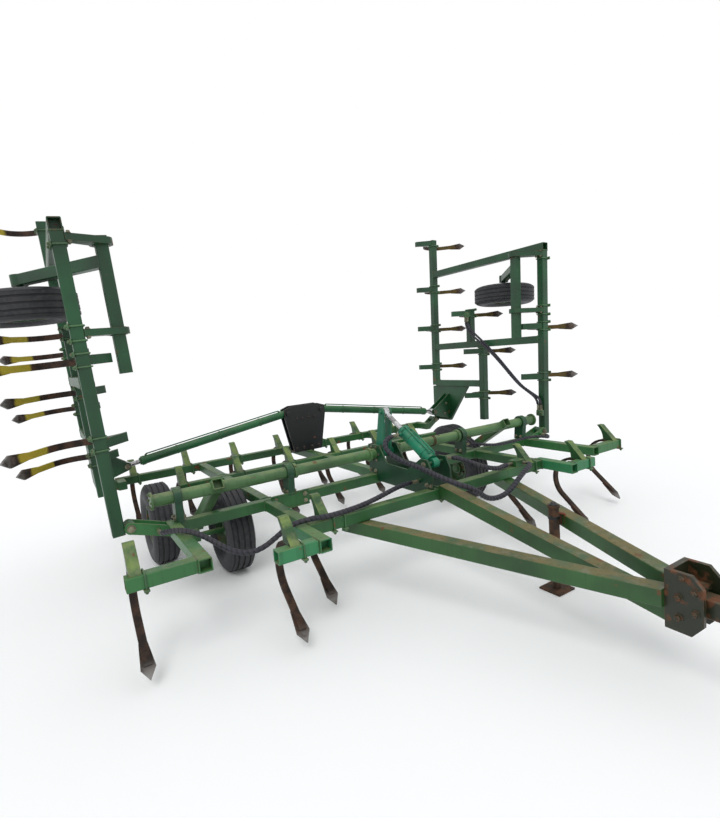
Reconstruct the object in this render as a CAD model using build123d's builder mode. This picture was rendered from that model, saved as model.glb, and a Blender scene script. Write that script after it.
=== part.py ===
from build123d import *
import os
from math import atan2, cos, hypot, pi, radians, sin, tan

# Field cultivator with a main frame on four walking wheels and two wings folded upright.
# Millimetres. +X is the right-hand side seen from behind, -Y is the way it is pulled, +Z is up.
# The origin is on the ground, on the centreline, half-way along the machine.

# Driving sizes of the frame
RAIL = 89.0                 # square tube of every rail
TUBE_CORNER = 9.0           # outside corner radius of the square tube
TUBE_WALL = 8.0
MOUTH_DEPTH = 70.0          # how far an open tube end is seen into
RAIL_TOP = 720.0            # top of the rails above the ground
FRONT_RAIL_Y = -340.0
BEAM = 102.0                # square tube of the drawbar
PLATE = 16.0
SEAT_GAP = 0.3              # between two pieces that are clamped together
JOG_NOSE = 15.0             # how far a jog's open end stands ahead of its outer rail

# Driving sizes of the running gear
TYRE_DIAMETER = 790.0
TYRE_WIDTH = 250.0
RIM_DIAMETER = 384.0
RIM_WIDTH = 205.0
SHAFT_DIAMETER = 100.0
SHAFT_RISE = 200.0          # rockshaft axis above the rail tops
SHAFT_HALF = 2150.0
ARM_X = 1660.0
TANDEM_X = 1755.0
TANDEM_WIDTH = 60.0
TANDEM_DEPTH = 110.0
TANDEM_REACH = 350.0        # pivot to each axle
ARM_RUN = 860.0             # rockshaft to tandem pivot, level
INNER_WHEEL_X = 1440.0
OUTER_WHEEL_X = 1940.0
PIN = 50.0
PIN_CLEARANCE = 0.5
STUB_AXLE = 45.0            # how far an axle reaches past the middle of its wheel
RIM_WALL = 12.0
RIM_INSET = 12.0            # tyre's seat from each edge of the rim
RIM_DISC = 14.0
HUB = 124.0
HUB_LENGTH = 120.0

# Driving sizes of the wings
HINGE_X = 2325.0
HINGE_RISE = 40.0           # wing hinge axis above the rail tops
WING_LEAN = 2.9             # folded wings lean outward by this many degrees
HINGE_PIN = 40.0
KNUCKLE_RADIUS = 42.0
LUG_RADIUS = 45.0
LUG_GAP = 7.5
WING_SHAFT_RISE = 200.0     # wing rockshaft above the hinge axis, on a level wing
JOURNAL = 124.0             # round collars on the wing's square rockshaft, inside its brackets
BRACKET_WALL = 20.0

# Driving sizes of the tines
HOLDER_WIDTH = 70.0
HOLDER_RISE = 160.0
SHANK_WIDTH = 50.0
SHANK_THICKNESS = 24.0
SHANK_RADIUS = 215.0
SHANK_TAIL = 300.0
POINT_WIDTH = 90.0

RAIL_Z = RAIL_TOP - RAIL / 2
SHAFT_Y = FRONT_RAIL_Y + 826.0
SHAFT_Z = RAIL_TOP + SHAFT_RISE
AXLE_Z = TYRE_DIAMETER / 2
PIVOT_Y = SHAFT_Y + ARM_RUN
HINGE_Z = RAIL_TOP + HINGE_RISE

# Rails: name, place along Y, half length of the main run, jog distance forward, tip beyond the jog
RAILS = [
    ("rail_1", FRONT_RAIL_Y, 1300.0, 310.0, 1630.0),
    ("rail_2", FRONT_RAIL_Y + 845.0, 2020.0, 895.0, 2480.0),
    ("rail_3", FRONT_RAIL_Y + 2100.0, 1700.0, 0.0, 0.0),
    ("rail_4", FRONT_RAIL_Y + 3050.0, 2200.0, 0.0, 0.0),
]
RAIL_Y = {name: y for name, y, half, jog, tip in RAILS}
JOG = {name: jog for name, y, half, jog, tip in RAILS}

# Fore-and-aft members: name, place along X
LONGITUDINALS = [("longitudinal_left", -1230.0), ("longitudinal_right", 1230.0), ("longitudinal_centre", 0.0)]

# Tines of the main frame: place along X, place along Y
MAIN_TINES = (
    [(x, RAIL_Y["rail_1"]) for x in (-1110.0, 1110.0)]
    + [(x, RAIL_Y["rail_1"] - JOG["rail_1"]) for x in (-1500.0, 1500.0)]
    + [(x, RAIL_Y["rail_2"] - JOG["rail_2"]) for x in (-2420.0, 2420.0)]
    + [(-1660.0 + 610.0 * i, RAIL_Y["rail_3"]) for i in range(6)]
    + [(-2000.0 + 610.0 * i, RAIL_Y["rail_4"]) for i in range(7)]
)

# Rails of one wing, level: name, place along Y, inner end and outer end from the hinge axis
WING_FRONT_Y = RAIL_Y["rail_2"]
WING_RAILS = [
    ("front", WING_FRONT_Y, -40.0, 2160.0),
    ("middle", WING_FRONT_Y + 1000.0, 60.0, 1065.5),
    ("stub", WING_FRONT_Y + 1230.0, 1154.5, 1600.0),
    ("rear", WING_FRONT_Y + 2000.0, 530.0, 2720.0),
]
WING_RAIL_Y = {name: y for name, y, inner, outer in WING_RAILS}
WING_RAIL_DROP = HINGE_RISE + RAIL / 2

# Fore-and-aft beams of one wing: distance from the hinge axis, the rails that they join
WING_BEAMS = [(2205.0, "front", "rear"), (1110.0, "front", "rear"), (560.0, "middle", "rear")]

# Tines of one wing: distance from the hinge axis, rail
WING_TINES = [(660.0, "front"), (1270.0, "front"), (400.0, "middle"), (1010.0, "middle"), (1550.0, "stub"),
              (810.0, "rear"), (1400.0, "rear"), (1990.0, "rear"), (2680.0, "rear")]

WING_WHEEL_U = 1760.0
WING_ARM_U = 1980.0
WING_SHAFT_Y = WING_FRONT_Y + 160.0
WING_SHAFT_ENDS = (1140.0, 2160.0)
WING_SHAFT_BRACKETS = (1460.0, 2120.0)
WING_BRACKET_WIDTH = 50.0
BASE_PLATE = 40.0
WING_ARM_RUN = 700.0

# Wing folding: pins on the mast and on each wing's horn
FOLD_Y = RAIL_Y["rail_3"] + 500.0
MAST_PIN_X = 230.0
MAST_PIN_RISE = 500.0
HORN_OUT = 150.0            # horn pin from the hinge axis, along the level wing
HORN_RISE = 225.0           # horn pin above the hinge axis, on the level wing
FOLD_BORE = 90.0            # outside of the folding cylinder
FOLD_ROD = 50.0
FOLD_PIN = 40.0
HORN_Y = 50.0               # each horn plate from the folding cylinder's line

# Lifting: lever on the rockshaft and cylinder between the side plates
LEVER_RISE = 400.0
LEVER_LEAN = 86.0
LEVER_X = 42.0
ANCHOR_Y = FRONT_RAIL_Y + 60.0
ANCHOR_RISE = 200.0
LIFT_BARREL = 110.0
LIFT_ROD = 45.0
LIFT_PIN = 32.0
SIDE_PLATE_X = 100.0

# Drawbar
TONGUE_SPREAD = 820.0
TONGUE_TAIL_Y = FRONT_RAIL_Y + 150.0
TONGUE_SEAT_Y = FRONT_RAIL_Y + 50.0
NOSE_Y = FRONT_RAIL_Y - 1890.0
NOSE_SPREAD = 78.0
TONGUE_FALL = 81.0
HEAD_LENGTH = 190.0
HEAD_CHEEK_X = 92.0
HEAD_BAR = 28.0
EAR = 22.0
EAR_RADIUS = 50.0
EYE_AHEAD = 60.0            # hitch pin ahead of the pole's end
POLE_END_Y = FRONT_RAIL_Y - 2560.0
HITCH_PIN = 33.0
HITCH_GAP = 60.0

# Jack
JACK_Y = FRONT_RAIL_Y - 850.0
JACK_TUBE = 76.0
JACK_LEG = 60.0
JACK_LOW = 300.0            # lower end of the jack's tube above the ground
JACK_TOP = RAIL_TOP - 60.0
JACK_TRAVEL = 180.0
JACK_CAP = 15.0
FOOT = 180.0
FOOT_PLATE = 14.0

# Hoses and the bosses that they leave
HOSE = 22.0
THIN_HOSE = 20.0
BOSS = 36.0
BOSS_LENGTH = 30.0
HOSE_BLOCK = (130.0, 55.0)  # length along rail 1 and height
HOSE_BLOCK_X = 950.0
PORT_GAP = 6.0              # between the lift cylinder's port and its hose, which the cylinder moves past
PORT_ALONG = 430.0          # port from the cylinder's lower pin
PORT_LENGTH = 25.0

os.makedirs("parts", exist_ok=True)


def keep(piece, name):
    piece.part.label = name
    export_step(piece.part, f"parts/{name}.step")


def tube(start, end, size=RAIL):
    """Adds one length of square tube, from start to end."""
    run = Vector(*end) - Vector(*start)
    across = Vector(0, 0, 1).cross(run) if hypot(run.X, run.Y) > 1 else Vector(1, 0, 0)
    with BuildSketch(Plane(origin=start, x_dir=across, z_dir=run)) as profile:
        RectangleRounded(size, size, TUBE_CORNER)
    extrude(profile.sketch, amount=run.length)


def mouth(end, inward, size=RAIL):
    """Opens a tube's end: end is the middle of the end face and inward points into the tube."""
    flow = Vector(*inward)
    across = Vector(0, 0, 1).cross(flow) if hypot(flow.X, flow.Y) > 0.01 else Vector(1, 0, 0)
    hollow = size - 2 * TUBE_WALL
    with BuildSketch(Plane(origin=end, x_dir=across, z_dir=flow)) as profile:
        Rectangle(hollow, hollow)
    extrude(profile.sketch, amount=MOUTH_DEPTH, mode=Mode.SUBTRACT)


def side_plane(x, y, z):
    """Plane seen from the right: its x runs to the rear and its y runs up."""
    return Plane(origin=(x, y, z), x_dir=(0, 1, 0), z_dir=(1, 0, 0))


def slab(plane, points, thickness):
    """Adds a plate with a straight-sided outline, centred on its plane."""
    with BuildSketch(plane) as outline:
        Polygon(*points, align=None)
    extrude(outline.sketch, amount=thickness / 2, both=True)


def cylinder_along(plane, radius, length, mode=Mode.ADD):
    """Adds a round bar centred on the plane's origin, along its normal."""
    with BuildSketch(plane) as profile:
        Circle(radius)
    extrude(profile.sketch, amount=length / 2, both=True, mode=mode)


# A tine's holder is a wedge that leans back over its rail, and its shank is a long C behind it.
HOLDER_FOOT = (-22.0, 100.0)
HOLDER_TOP = (128.0, 168.0)


def holder(x, y, z):
    """Adds the holder on the rail whose centre is at this place."""
    top = RAIL / 2 + HOLDER_RISE
    with BuildSketch(side_plane(x, y, z)) as side:
        with BuildLine():
            Polyline((HOLDER_FOOT[1], RAIL / 2), (HOLDER_FOOT[0], RAIL / 2), (HOLDER_TOP[0], top), (HOLDER_TOP[1], top))
            ThreePointArc((HOLDER_TOP[1], top), (110.0, RAIL / 2 + 70.0), (HOLDER_FOOT[1], RAIL / 2))
        make_face()
    extrude(side.sketch, amount=HOLDER_WIDTH / 2, both=True)


SHANK_START = (HOLDER_FOOT[1] - 5.0, RAIL / 2 - SHANK_THICKNESS / 2)
SHANK_BEND = 50.0           # where the C ends, in degrees below level


def shank(x, y, z):
    """Adds the C shank and its point for the rail whose centre is at this place."""
    start_y, start_z = SHANK_START
    centre_z = start_z - SHANK_RADIUS
    bend = radians(SHANK_BEND)
    low = (start_y + SHANK_RADIUS * cos(bend), centre_z - SHANK_RADIUS * sin(bend))
    tail = (low[0] - SHANK_TAIL * sin(bend), low[1] - SHANK_TAIL * cos(bend))
    plane = side_plane(x, y, z)
    with BuildSketch(plane) as side:
        with BuildLine():
            Line((RAIL / 2, start_z), SHANK_START)
            ThreePointArc(SHANK_START, (start_y + SHANK_RADIUS, centre_z), low)
            Line(low, tail)
        trace(line_width=SHANK_THICKNESS)
    extrude(side.sketch, amount=SHANK_WIDTH / 2, both=True)
    heel = plane.from_local_coords((tail[0], tail[1], 0))
    ahead = plane.from_local_coords((tail[0] - sin(bend), tail[1] - cos(bend), 0)) - heel
    across = plane.z_dir
    face = Plane(origin=heel, x_dir=across, z_dir=across.cross(ahead))
    half = POINT_WIDTH / 2
    with BuildSketch(face) as blade:
        Polygon((-half * 0.6, -150), (half * 0.6, -150), (half, 10), (0, 85), (-half, 10), align=None)
    extrude(blade.sketch, amount=SHANK_THICKNESS / 2 + 6, both=False)


def hinge_lugs(side, root, y):
    """Adds the two lugs and the pin of a wing hinge, out from the frame's face at this root."""
    for step in (-1, 1):
        lug_y = y + step * (RAIL / 2 + LUG_GAP + PLATE / 2)
        with BuildSketch(Plane(origin=(side * HINGE_X, lug_y, HINGE_Z), x_dir=(side, 0, 0), z_dir=(0, -side, 0))) as lug:
            with BuildLine():
                Polyline((0, LUG_RADIUS), (root - HINGE_X, -HINGE_RISE), (root - HINGE_X, -HINGE_RISE - RAIL),
                         (0, -LUG_RADIUS))
                ThreePointArc((0, -LUG_RADIUS), (LUG_RADIUS, 0), (0, LUG_RADIUS))
            make_face()
        extrude(lug.sketch, amount=PLATE / 2, both=True)
    pin_span = RAIL + 2 * LUG_GAP + 2 * PLATE
    cylinder_along(Plane(origin=(side * HINGE_X, y, HINGE_Z), z_dir=(0, 1, 0)), HINGE_PIN / 2, pin_span)


def boss(plane):
    """Adds a hose boss that stands on this plane, with its root just inside the plate."""
    with BuildSketch(plane.offset(-PLATE / 2)) as round_end:
        Circle(BOSS / 2)
    extrude(round_end.sketch, amount=PLATE / 2 + BOSS_LENGTH)


# Main frame rails; the hose bosses on rail 2's front lugs are given as X and Z
LUG_FRONT_Y = RAIL_Y["rail_2"] - RAIL / 2 - LUG_GAP - PLATE
LEFT_BOSS = (-2140.0, RAIL_TOP - 18.0)
RIGHT_BOSS = (2245.0, RAIL_TOP + 15.0)
REAR_HINGE_Y = RAIL_Y["rail_4"] - 190.0
for name, y, half, jog, tip in RAILS:
    with BuildPart() as rail:
        end = half - RAIL / 2 if jog else half
        tube((-end, y, RAIL_Z), (end, y, RAIL_Z))
        for side in (-1, 1):
            if jog:
                nose = y - jog - RAIL / 2 - JOG_NOSE
                tube((side * half, y + RAIL / 2, RAIL_Z), (side * half, nose, RAIL_Z))
                tube((side * (half + RAIL / 2), y - jog, RAIL_Z), (side * tip, y - jog, RAIL_Z))
                mouth((side * half, nose, RAIL_Z), (0, 1, 0))
                mouth((side * tip, y - jog, RAIL_Z), (-side, 0, 0))
            else:
                mouth((side * half, y, RAIL_Z), (-side, 0, 0))
        if name == "rail_1":
            with Locations((HOSE_BLOCK_X, y, RAIL_TOP)):
                Box(HOSE_BLOCK[0], RAIL, HOSE_BLOCK[1], align=(Align.CENTER, Align.CENTER, Align.MIN))
        if name == "rail_2":
            for x, z in (LEFT_BOSS, RIGHT_BOSS):
                boss(Plane(origin=(x, LUG_FRONT_Y, z), z_dir=(0, -1, 0)))
            for side in (-1, 1):
                root = half + RAIL / 2
                hinge_lugs(side, root, y)
                # the jog's tube ends before the rear lug, so a block carries that lug
                with Locations((side * (root - 20), y + RAIL / 2 + LUG_GAP + PLATE / 2, RAIL_Z)):
                    Box(60, PLATE, RAIL)
        if name == "rail_4":
            for side in (-1, 1):
                stub_x = side * (half - RAIL / 2)
                tube((stub_x, y - RAIL / 2, RAIL_Z), (stub_x, REAR_HINGE_Y - 82.0, RAIL_Z))
                hinge_lugs(side, half, REAR_HINGE_Y)
    keep(rail, name)

# Fore-and-aft members, one length in each bay between two rails
for name, x in LONGITUDINALS:
    with BuildPart() as member:
        ladder = RAILS[1:] if x == 0 else RAILS
        for front, rear in zip(ladder, ladder[1:]):
            tube((x, front[1] + RAIL / 2, RAIL_Z), (x, rear[1] - RAIL / 2, RAIL_Z))
    keep(member, name)

# Drawbar: two beams that meet at the nose, a sloping centre beam, and the pole with its clevis
TONGUE_Z = RAIL_TOP - RAIL - BEAM / 2 - SEAT_GAP
for side, name in ((-1, "tongue_left"), (1, "tongue_right")):
    with BuildPart() as beam:
        reach = TONGUE_SEAT_Y - NOSE_Y
        slope_x = (TONGUE_SPREAD - NOSE_SPREAD) / reach
        slope_z = TONGUE_FALL / reach
        tail_run = TONGUE_TAIL_Y - NOSE_Y
        start = (side * (NOSE_SPREAD + slope_x * tail_run), TONGUE_TAIL_Y, TONGUE_Z - TONGUE_FALL + slope_z * tail_run)
        spare = 120.0
        end = (side * (NOSE_SPREAD - slope_x * spare), NOSE_Y - spare, TONGUE_Z - TONGUE_FALL - slope_z * spare)
        tube(start, end, BEAM)
        # both beams are cut square against the head
        split(bisect_by=Plane(origin=(0, NOSE_Y, 0), z_dir=(0, 1, 0)), keep=Keep.TOP)
    keep(beam, name)

CENTRE_TOP = 30.0
CENTRE_END_TOP = -282.0
with BuildPart() as centre_beam:
    front_y = FRONT_RAIL_Y - RAIL / 2
    slope = atan2(CENTRE_TOP - CENTRE_END_TOP, front_y - NOSE_Y)
    depth = BEAM / cos(slope)
    slab(side_plane(0, 0, RAIL_TOP), [(front_y, CENTRE_TOP), (front_y, CENTRE_TOP - depth),
                                      (NOSE_Y, CENTRE_END_TOP - depth), (NOSE_Y, CENTRE_END_TOP)], BEAM - 2)
keep(centre_beam, "tongue_centre")

POLE_Z = RAIL_TOP - 235.0
POLE_START_Y = NOSE_Y - 2 * PLATE
with BuildPart() as head:
    head_top = RAIL_TOP - 60.0
    head_low = RAIL_TOP + CENTRE_END_TOP - BEAM / cos(slope)
    head_front = NOSE_Y - HEAD_LENGTH
    shoulder_y = NOSE_Y - 0.7 * HEAD_LENGTH
    for side in (-1, 1):
        slab(side_plane(side * HEAD_CHEEK_X, 0, 0),
             [(NOSE_Y, head_top), (shoulder_y, head_top), (head_front, head_top - 60), (head_front, head_low + 70),
              (shoulder_y, head_low), (NOSE_Y, head_low)], PLATE + 8)
    with Locations((0, NOSE_Y - PLATE, (head_top + head_low) / 2)):
        Box(2 * HEAD_CHEEK_X, 2 * PLATE, head_top - head_low)
    for step in (-1, 1):
        with Locations((0, NOSE_Y - HEAD_LENGTH / 2, POLE_Z + step * (BEAM / 2 + SEAT_GAP + HEAD_BAR / 2))):
            Box(2 * HEAD_CHEEK_X, HEAD_LENGTH / 2, HEAD_BAR)
keep(head, "drawbar_head")

with BuildPart() as drawbar:
    tube((0, POLE_START_Y, POLE_Z), (0, POLE_END_Y, POLE_Z), BEAM)
    for step in (-1, 1):
        ear_z = POLE_Z + step * (HITCH_GAP + EAR) / 2
        with BuildSketch(Plane.XY.offset(ear_z)) as ear:
            with Locations((0, POLE_END_Y - EYE_AHEAD)):
                Circle(EAR_RADIUS)
            with Locations((0, POLE_END_Y - EYE_AHEAD / 2)):
                Rectangle(2 * EAR_RADIUS, EYE_AHEAD)
        extrude(ear.sketch, amount=EAR / 2, both=True)
    with Locations((0, POLE_END_Y - EYE_AHEAD, POLE_Z)):
        Cylinder(HITCH_PIN / 2, BEAM * 2, mode=Mode.SUBTRACT)
keep(drawbar, "drawbar")

# Side plates over the middle of the front bay: they carry the rockshaft and the lift cylinder's pin
LEFT_PLATE_BOSS = (-1, ANCHOR_Y + 65.0, RAIL_TOP + 55.0)
RIGHT_PLATE_BOSS = (1, ANCHOR_Y + 15.0, RAIL_TOP + ANCHOR_RISE + 5.0)
RAIL_1_BACK = RAIL_Y["rail_1"] + RAIL / 2
RAIL_2_FRONT = RAIL_Y["rail_2"] - RAIL / 2
with BuildPart() as side_plates:
    for side in (-1, 1):
        slab(side_plane(side * SIDE_PLATE_X, 0, RAIL_TOP),
             [(RAIL_1_BACK - 75, 0), (RAIL_1_BACK - 75, 150), (ANCHOR_Y - 40, ANCHOR_RISE + 45),
              (ANCHOR_Y + 50, ANCHOR_RISE + 45), (ANCHOR_Y + 250, 120), (SHAFT_Y - 200, 130), (SHAFT_Y - 85, SHAFT_RISE + 85),
              (SHAFT_Y + 95, SHAFT_RISE + 85), (SHAFT_Y + 105, 0), (RAIL_2_FRONT, 0), (RAIL_2_FRONT, -65),
              (RAIL_1_BACK, -65), (RAIL_1_BACK, 0)], PLATE)
    cylinder_along(side_plane(0, SHAFT_Y, SHAFT_Z), SHAFT_DIAMETER / 2 + PIN_CLEARANCE, 400, Mode.SUBTRACT)
    cylinder_along(side_plane(0, ANCHOR_Y, RAIL_TOP + ANCHOR_RISE), LIFT_PIN / 2, 2 * SIDE_PLATE_X + PLATE + 20)
    for side, boss_y, boss_z in (LEFT_PLATE_BOSS, RIGHT_PLATE_BOSS):
        boss(Plane(origin=(side * (SIDE_PLATE_X + PLATE / 2), boss_y, boss_z), z_dir=(side, 0, 0)))
keep(side_plates, "side_plates")

# Rockshaft bearings on the second rail
BEARINGS_X = (-1970.0, -1020.0, 1020.0, 1970.0)
BEARING_WIDTH = 60.0
BEARING_BOSS_Z = RAIL_TOP + 80.0
with BuildPart() as bearings:
    for x in BEARINGS_X:
        slab(side_plane(x, SHAFT_Y, SHAFT_Z), [(-40, -SHAFT_RISE), (78, -SHAFT_RISE), (60, -20), (-60, -20)], BEARING_WIDTH)
        cylinder_along(side_plane(x, SHAFT_Y, SHAFT_Z), SHAFT_DIAMETER / 2 + 24, BEARING_WIDTH)
    boss(Plane(origin=(BEARINGS_X[2] + BEARING_WIDTH / 2, SHAFT_Y, BEARING_BOSS_Z), z_dir=(1, 0, 0)))
    cylinder_along(side_plane(0, SHAFT_Y, SHAFT_Z), SHAFT_DIAMETER / 2 + PIN_CLEARANCE, 5000, Mode.SUBTRACT)
keep(bearings, "shaft_bearings")

# Rockshaft with its lever and trailing arms
ARM_FALL = SHAFT_Z - AXLE_Z
ARM_LENGTH = hypot(ARM_RUN, ARM_FALL)
ARM_NOSE = 95.0
with BuildPart() as rockshaft:
    cylinder_along(side_plane(0, SHAFT_Y, SHAFT_Z), SHAFT_DIAMETER / 2, 2 * SHAFT_HALF)
    for side in (-1, 1):
        cylinder_along(side_plane(side * (SHAFT_HALF + PLATE / 2), SHAFT_Y, SHAFT_Z), SHAFT_DIAMETER / 2 + 20, PLATE)
        run_y, run_z = ARM_RUN / ARM_LENGTH, -ARM_FALL / ARM_LENGTH
        front = (side * ARM_X, SHAFT_Y - ARM_NOSE * run_y, SHAFT_Z - ARM_NOSE * run_z)
        tube(front, (side * ARM_X, PIVOT_Y, AXLE_Z))
        cylinder_along(side_plane(side * ARM_X, PIVOT_Y, AXLE_Z), 62, RAIL)
        mouth(front, (0, run_y, run_z))
        pin_end = TANDEM_X + TANDEM_WIDTH / 2 + 12
        pin_start = ARM_X
        cylinder_along(side_plane(side * (pin_start + pin_end) / 2, PIVOT_Y, AXLE_Z), PIN / 2, pin_end - pin_start)
        cylinder_along(side_plane(side * (LEVER_X + PLATE), SHAFT_Y - LEVER_LEAN, SHAFT_Z + LEVER_RISE), LIFT_PIN / 2, PLATE)
        slab(side_plane(side * LEVER_X, SHAFT_Y, SHAFT_Z),
             [(-70, 0), (-LEVER_LEAN - 42, LEVER_RISE), (-LEVER_LEAN - 20, LEVER_RISE + 38),
              (-LEVER_LEAN + 20, LEVER_RISE + 38), (-LEVER_LEAN + 42, LEVER_RISE), (62, 0)], PLATE)
keep(rockshaft, "rockshaft")

# Lift cylinder, from the side plates' pin up to the lever's pin
LIFT_RUN = SHAFT_Y - LEVER_LEAN - ANCHOR_Y
LIFT_CLIMB = LEVER_RISE + SHAFT_RISE - ANCHOR_RISE
LIFT_LENGTH = hypot(LIFT_RUN, LIFT_CLIMB)
lift_line = Plane(origin=(0, ANCHOR_Y, RAIL_TOP + ANCHOR_RISE), x_dir=(1, 0, 0), z_dir=(0, LIFT_RUN, LIFT_CLIMB))
LIFT_HEAD = 470.0


def cross_plane(plane, along):
    """Plane of an eye whose pin runs along this plane's x, at this distance along its normal."""
    return Plane(origin=plane.origin + plane.z_dir * along, x_dir=plane.y_dir, z_dir=plane.x_dir)


def pivot_eye(plane, radius, pin, width):
    """Adds a barrel's eye with a running hole for its pin."""
    cylinder_along(cross_plane(plane, 0), radius, width)
    cylinder_along(cross_plane(plane, 0), pin / 2 + PIN_CLEARANCE, width + 2, Mode.SUBTRACT)


def rod_eye(plane, along, radius, pin, width, gap):
    """Adds a rod's eye with its pin, which ends just inside the two plates that are this far apart."""
    cylinder_along(cross_plane(plane, along), radius, width)
    cylinder_along(cross_plane(plane, along), pin / 2, gap - 2 * PIN_CLEARANCE)


with BuildPart(lift_line) as lift_barrel:
    with Locations((0, 0, 35)):
        Cylinder(LIFT_BARREL / 2, LIFT_HEAD - 35, align=(Align.CENTER, Align.CENTER, Align.MIN))
    with Locations((0, 0, LIFT_HEAD)):
        Cylinder(LIFT_BARREL / 2 + 7, 34, align=(Align.CENTER, Align.CENTER, Align.MAX))
    with Locations((0, 0, LIFT_HEAD)):
        Cylinder(LIFT_ROD / 2 + PIN_CLEARANCE, LIFT_HEAD - 70, align=(Align.CENTER, Align.CENTER, Align.MAX),
                 mode=Mode.SUBTRACT)
    pivot_eye(lift_line, 42, LIFT_PIN, 60)
    port_root = lift_line.from_local_coords((-LIFT_BARREL / 2 + 4, 0, PORT_ALONG))
    with BuildSketch(Plane(origin=port_root, z_dir=(-1, 0, 0))) as port:
        Circle(BOSS / 2)
    extrude(port.sketch, amount=PORT_LENGTH + 4)
keep(lift_barrel, "lift_barrel")

with BuildPart(lift_line) as lift_rod:
    with Locations((0, 0, LIFT_HEAD - 250)):
        Cylinder(LIFT_ROD / 2, LIFT_LENGTH - LIFT_HEAD + 250 - 30, align=(Align.CENTER, Align.CENTER, Align.MIN))
    rod_eye(lift_line, LIFT_LENGTH, 38, LIFT_PIN, 55, 2 * LEVER_X - PLATE)
keep(lift_rod, "lift_rod")

# Walking tandems: a beam on each arm's pin, one wheel inside at the front and one outside at the rear
for side, hand in ((-1, "left"), (1, "right")):
    with BuildPart() as tandem:
        with BuildSketch(side_plane(side * TANDEM_X, PIVOT_Y, AXLE_Z)) as outline:
            SlotCenterToCenter(2 * TANDEM_REACH, TANDEM_DEPTH)
            Circle(75)
        extrude(outline.sketch, amount=TANDEM_WIDTH / 2, both=True)
        for axle_y, wheel_x, step in ((PIVOT_Y - TANDEM_REACH, INNER_WHEEL_X, -1), (PIVOT_Y + TANDEM_REACH, OUTER_WHEEL_X, 1)):
            tip = wheel_x + step * STUB_AXLE
            cylinder_along(side_plane(side * (TANDEM_X + tip) / 2, axle_y, AXLE_Z), PIN / 2, abs(tip - TANDEM_X))
        cylinder_along(side_plane(side * TANDEM_X, PIVOT_Y, AXLE_Z), PIN / 2 + PIN_CLEARANCE, TANDEM_WIDTH + 2, Mode.SUBTRACT)
    keep(tandem, f"tandem_{hand}")


TREAD = [(8.0, 44.0), (60.0, 84.0)]     # edges of the ribs on one half of the tread, from the middle
GROOVE = 11.0
SHOULDER_DROP = 34.0
BULGE_RISE = 105.0          # widest part of the tyre above the rim's seat


def tyre(plane):
    """Adds a ribbed tyre about the plane's normal, centred on its origin."""
    r, w, seat = TYRE_DIAMETER / 2, TYRE_WIDTH / 2, RIM_DIAMETER / 2
    bead = RIM_WIDTH / 2 - RIM_INSET
    spin = Plane(origin=plane.origin, x_dir=plane.z_dir, z_dir=plane.x_dir)
    up = 1 if spin.y_dir.dot(plane.y_dir) > 0 else -1
    crown = [(w - 14, r - SHOULDER_DROP), (w - 30, r - GROOVE)]
    for inner, outer in reversed(TREAD):
        crown += [(outer, r - GROOVE), (outer, r), (inner, r), (inner, r - GROOVE)]
    crown += [(-x, z) for x, z in reversed(crown)]
    with BuildSketch(spin) as section:
        with BuildLine():
            Polyline((-bead, up * (seat + 18)), (-bead, up * seat), (bead, up * seat), (bead, up * (seat + 18)))
            ThreePointArc((bead, up * (seat + 18)), (w, up * (seat + BULGE_RISE)), (w - 14, up * (r - SHOULDER_DROP)))
            Polyline(*[(x, up * z) for x, z in crown])
            ThreePointArc((-w + 14, up * (r - SHOULDER_DROP)), (-w, up * (seat + BULGE_RISE)), (-bead, up * (seat + 18)))
        make_face()
    revolve(section.sketch, axis=Axis(plane.origin, plane.z_dir))


def rim(plane):
    """Adds a rim with its disc and its hub about the plane's normal."""
    seat = RIM_DIAMETER / 2
    width = RIM_WIDTH - 2 * RIM_INSET
    cylinder_along(plane, seat, width)
    for step in (-1, 1):
        side_depth = (width - RIM_DISC) / 2
        cylinder_along(plane.offset(step * (RIM_DISC + side_depth) / 2), seat - RIM_WALL, side_depth, Mode.SUBTRACT)
    cylinder_along(plane, HUB / 2, HUB_LENGTH)
    cylinder_along(plane, PIN / 2 + PIN_CLEARANCE, HUB_LENGTH + 20, Mode.SUBTRACT)


# Wheels of the main frame
MAIN_WHEELS = [("inner", INNER_WHEEL_X, PIVOT_Y - TANDEM_REACH), ("outer", OUTER_WHEEL_X, PIVOT_Y + TANDEM_REACH)]
for side, hand in ((-1, "left"), (1, "right")):
    for place, x, y in MAIN_WHEELS:
        hub = side_plane(side * x, y, AXLE_Z)
        with BuildPart() as wheel_tyre:
            tyre(hub)
        keep(wheel_tyre, f"tyre_{hand}_{place}")
        with BuildPart() as wheel_rim:
            rim(hub)
        keep(wheel_rim, f"rim_{hand}_{place}")

# Mast for the folding cylinders
MAST_Z = RAIL_TOP + MAST_PIN_RISE
with BuildPart() as mast:
    for step in (-1, 1):
        face = Plane(origin=(0, FOLD_Y + step * 55.0, RAIL_TOP), x_dir=(1, 0, 0), z_dir=(0, -1, 0))
        slab(face, [(-190, 0), (-280, MAST_PIN_RISE - 60), (-280, MAST_PIN_RISE + 50), (-180, MAST_PIN_RISE + 85),
                    (180, MAST_PIN_RISE + 85), (280, MAST_PIN_RISE + 50), (280, MAST_PIN_RISE - 60), (190, 0)], PLATE)
    with Locations((0, FOLD_Y, RAIL_TOP + PLATE / 2)):
        Box(380, 94, PLATE)
    with Locations((0, FOLD_Y, RAIL_TOP + 240)):
        Box(80, 94, 300)
    for side in (-1, 1):
        cylinder_along(Plane(origin=(side * MAST_PIN_X, FOLD_Y, MAST_Z), z_dir=(0, 1, 0)), FOLD_PIN / 2, 150)
keep(mast, "fold_mast")

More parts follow.
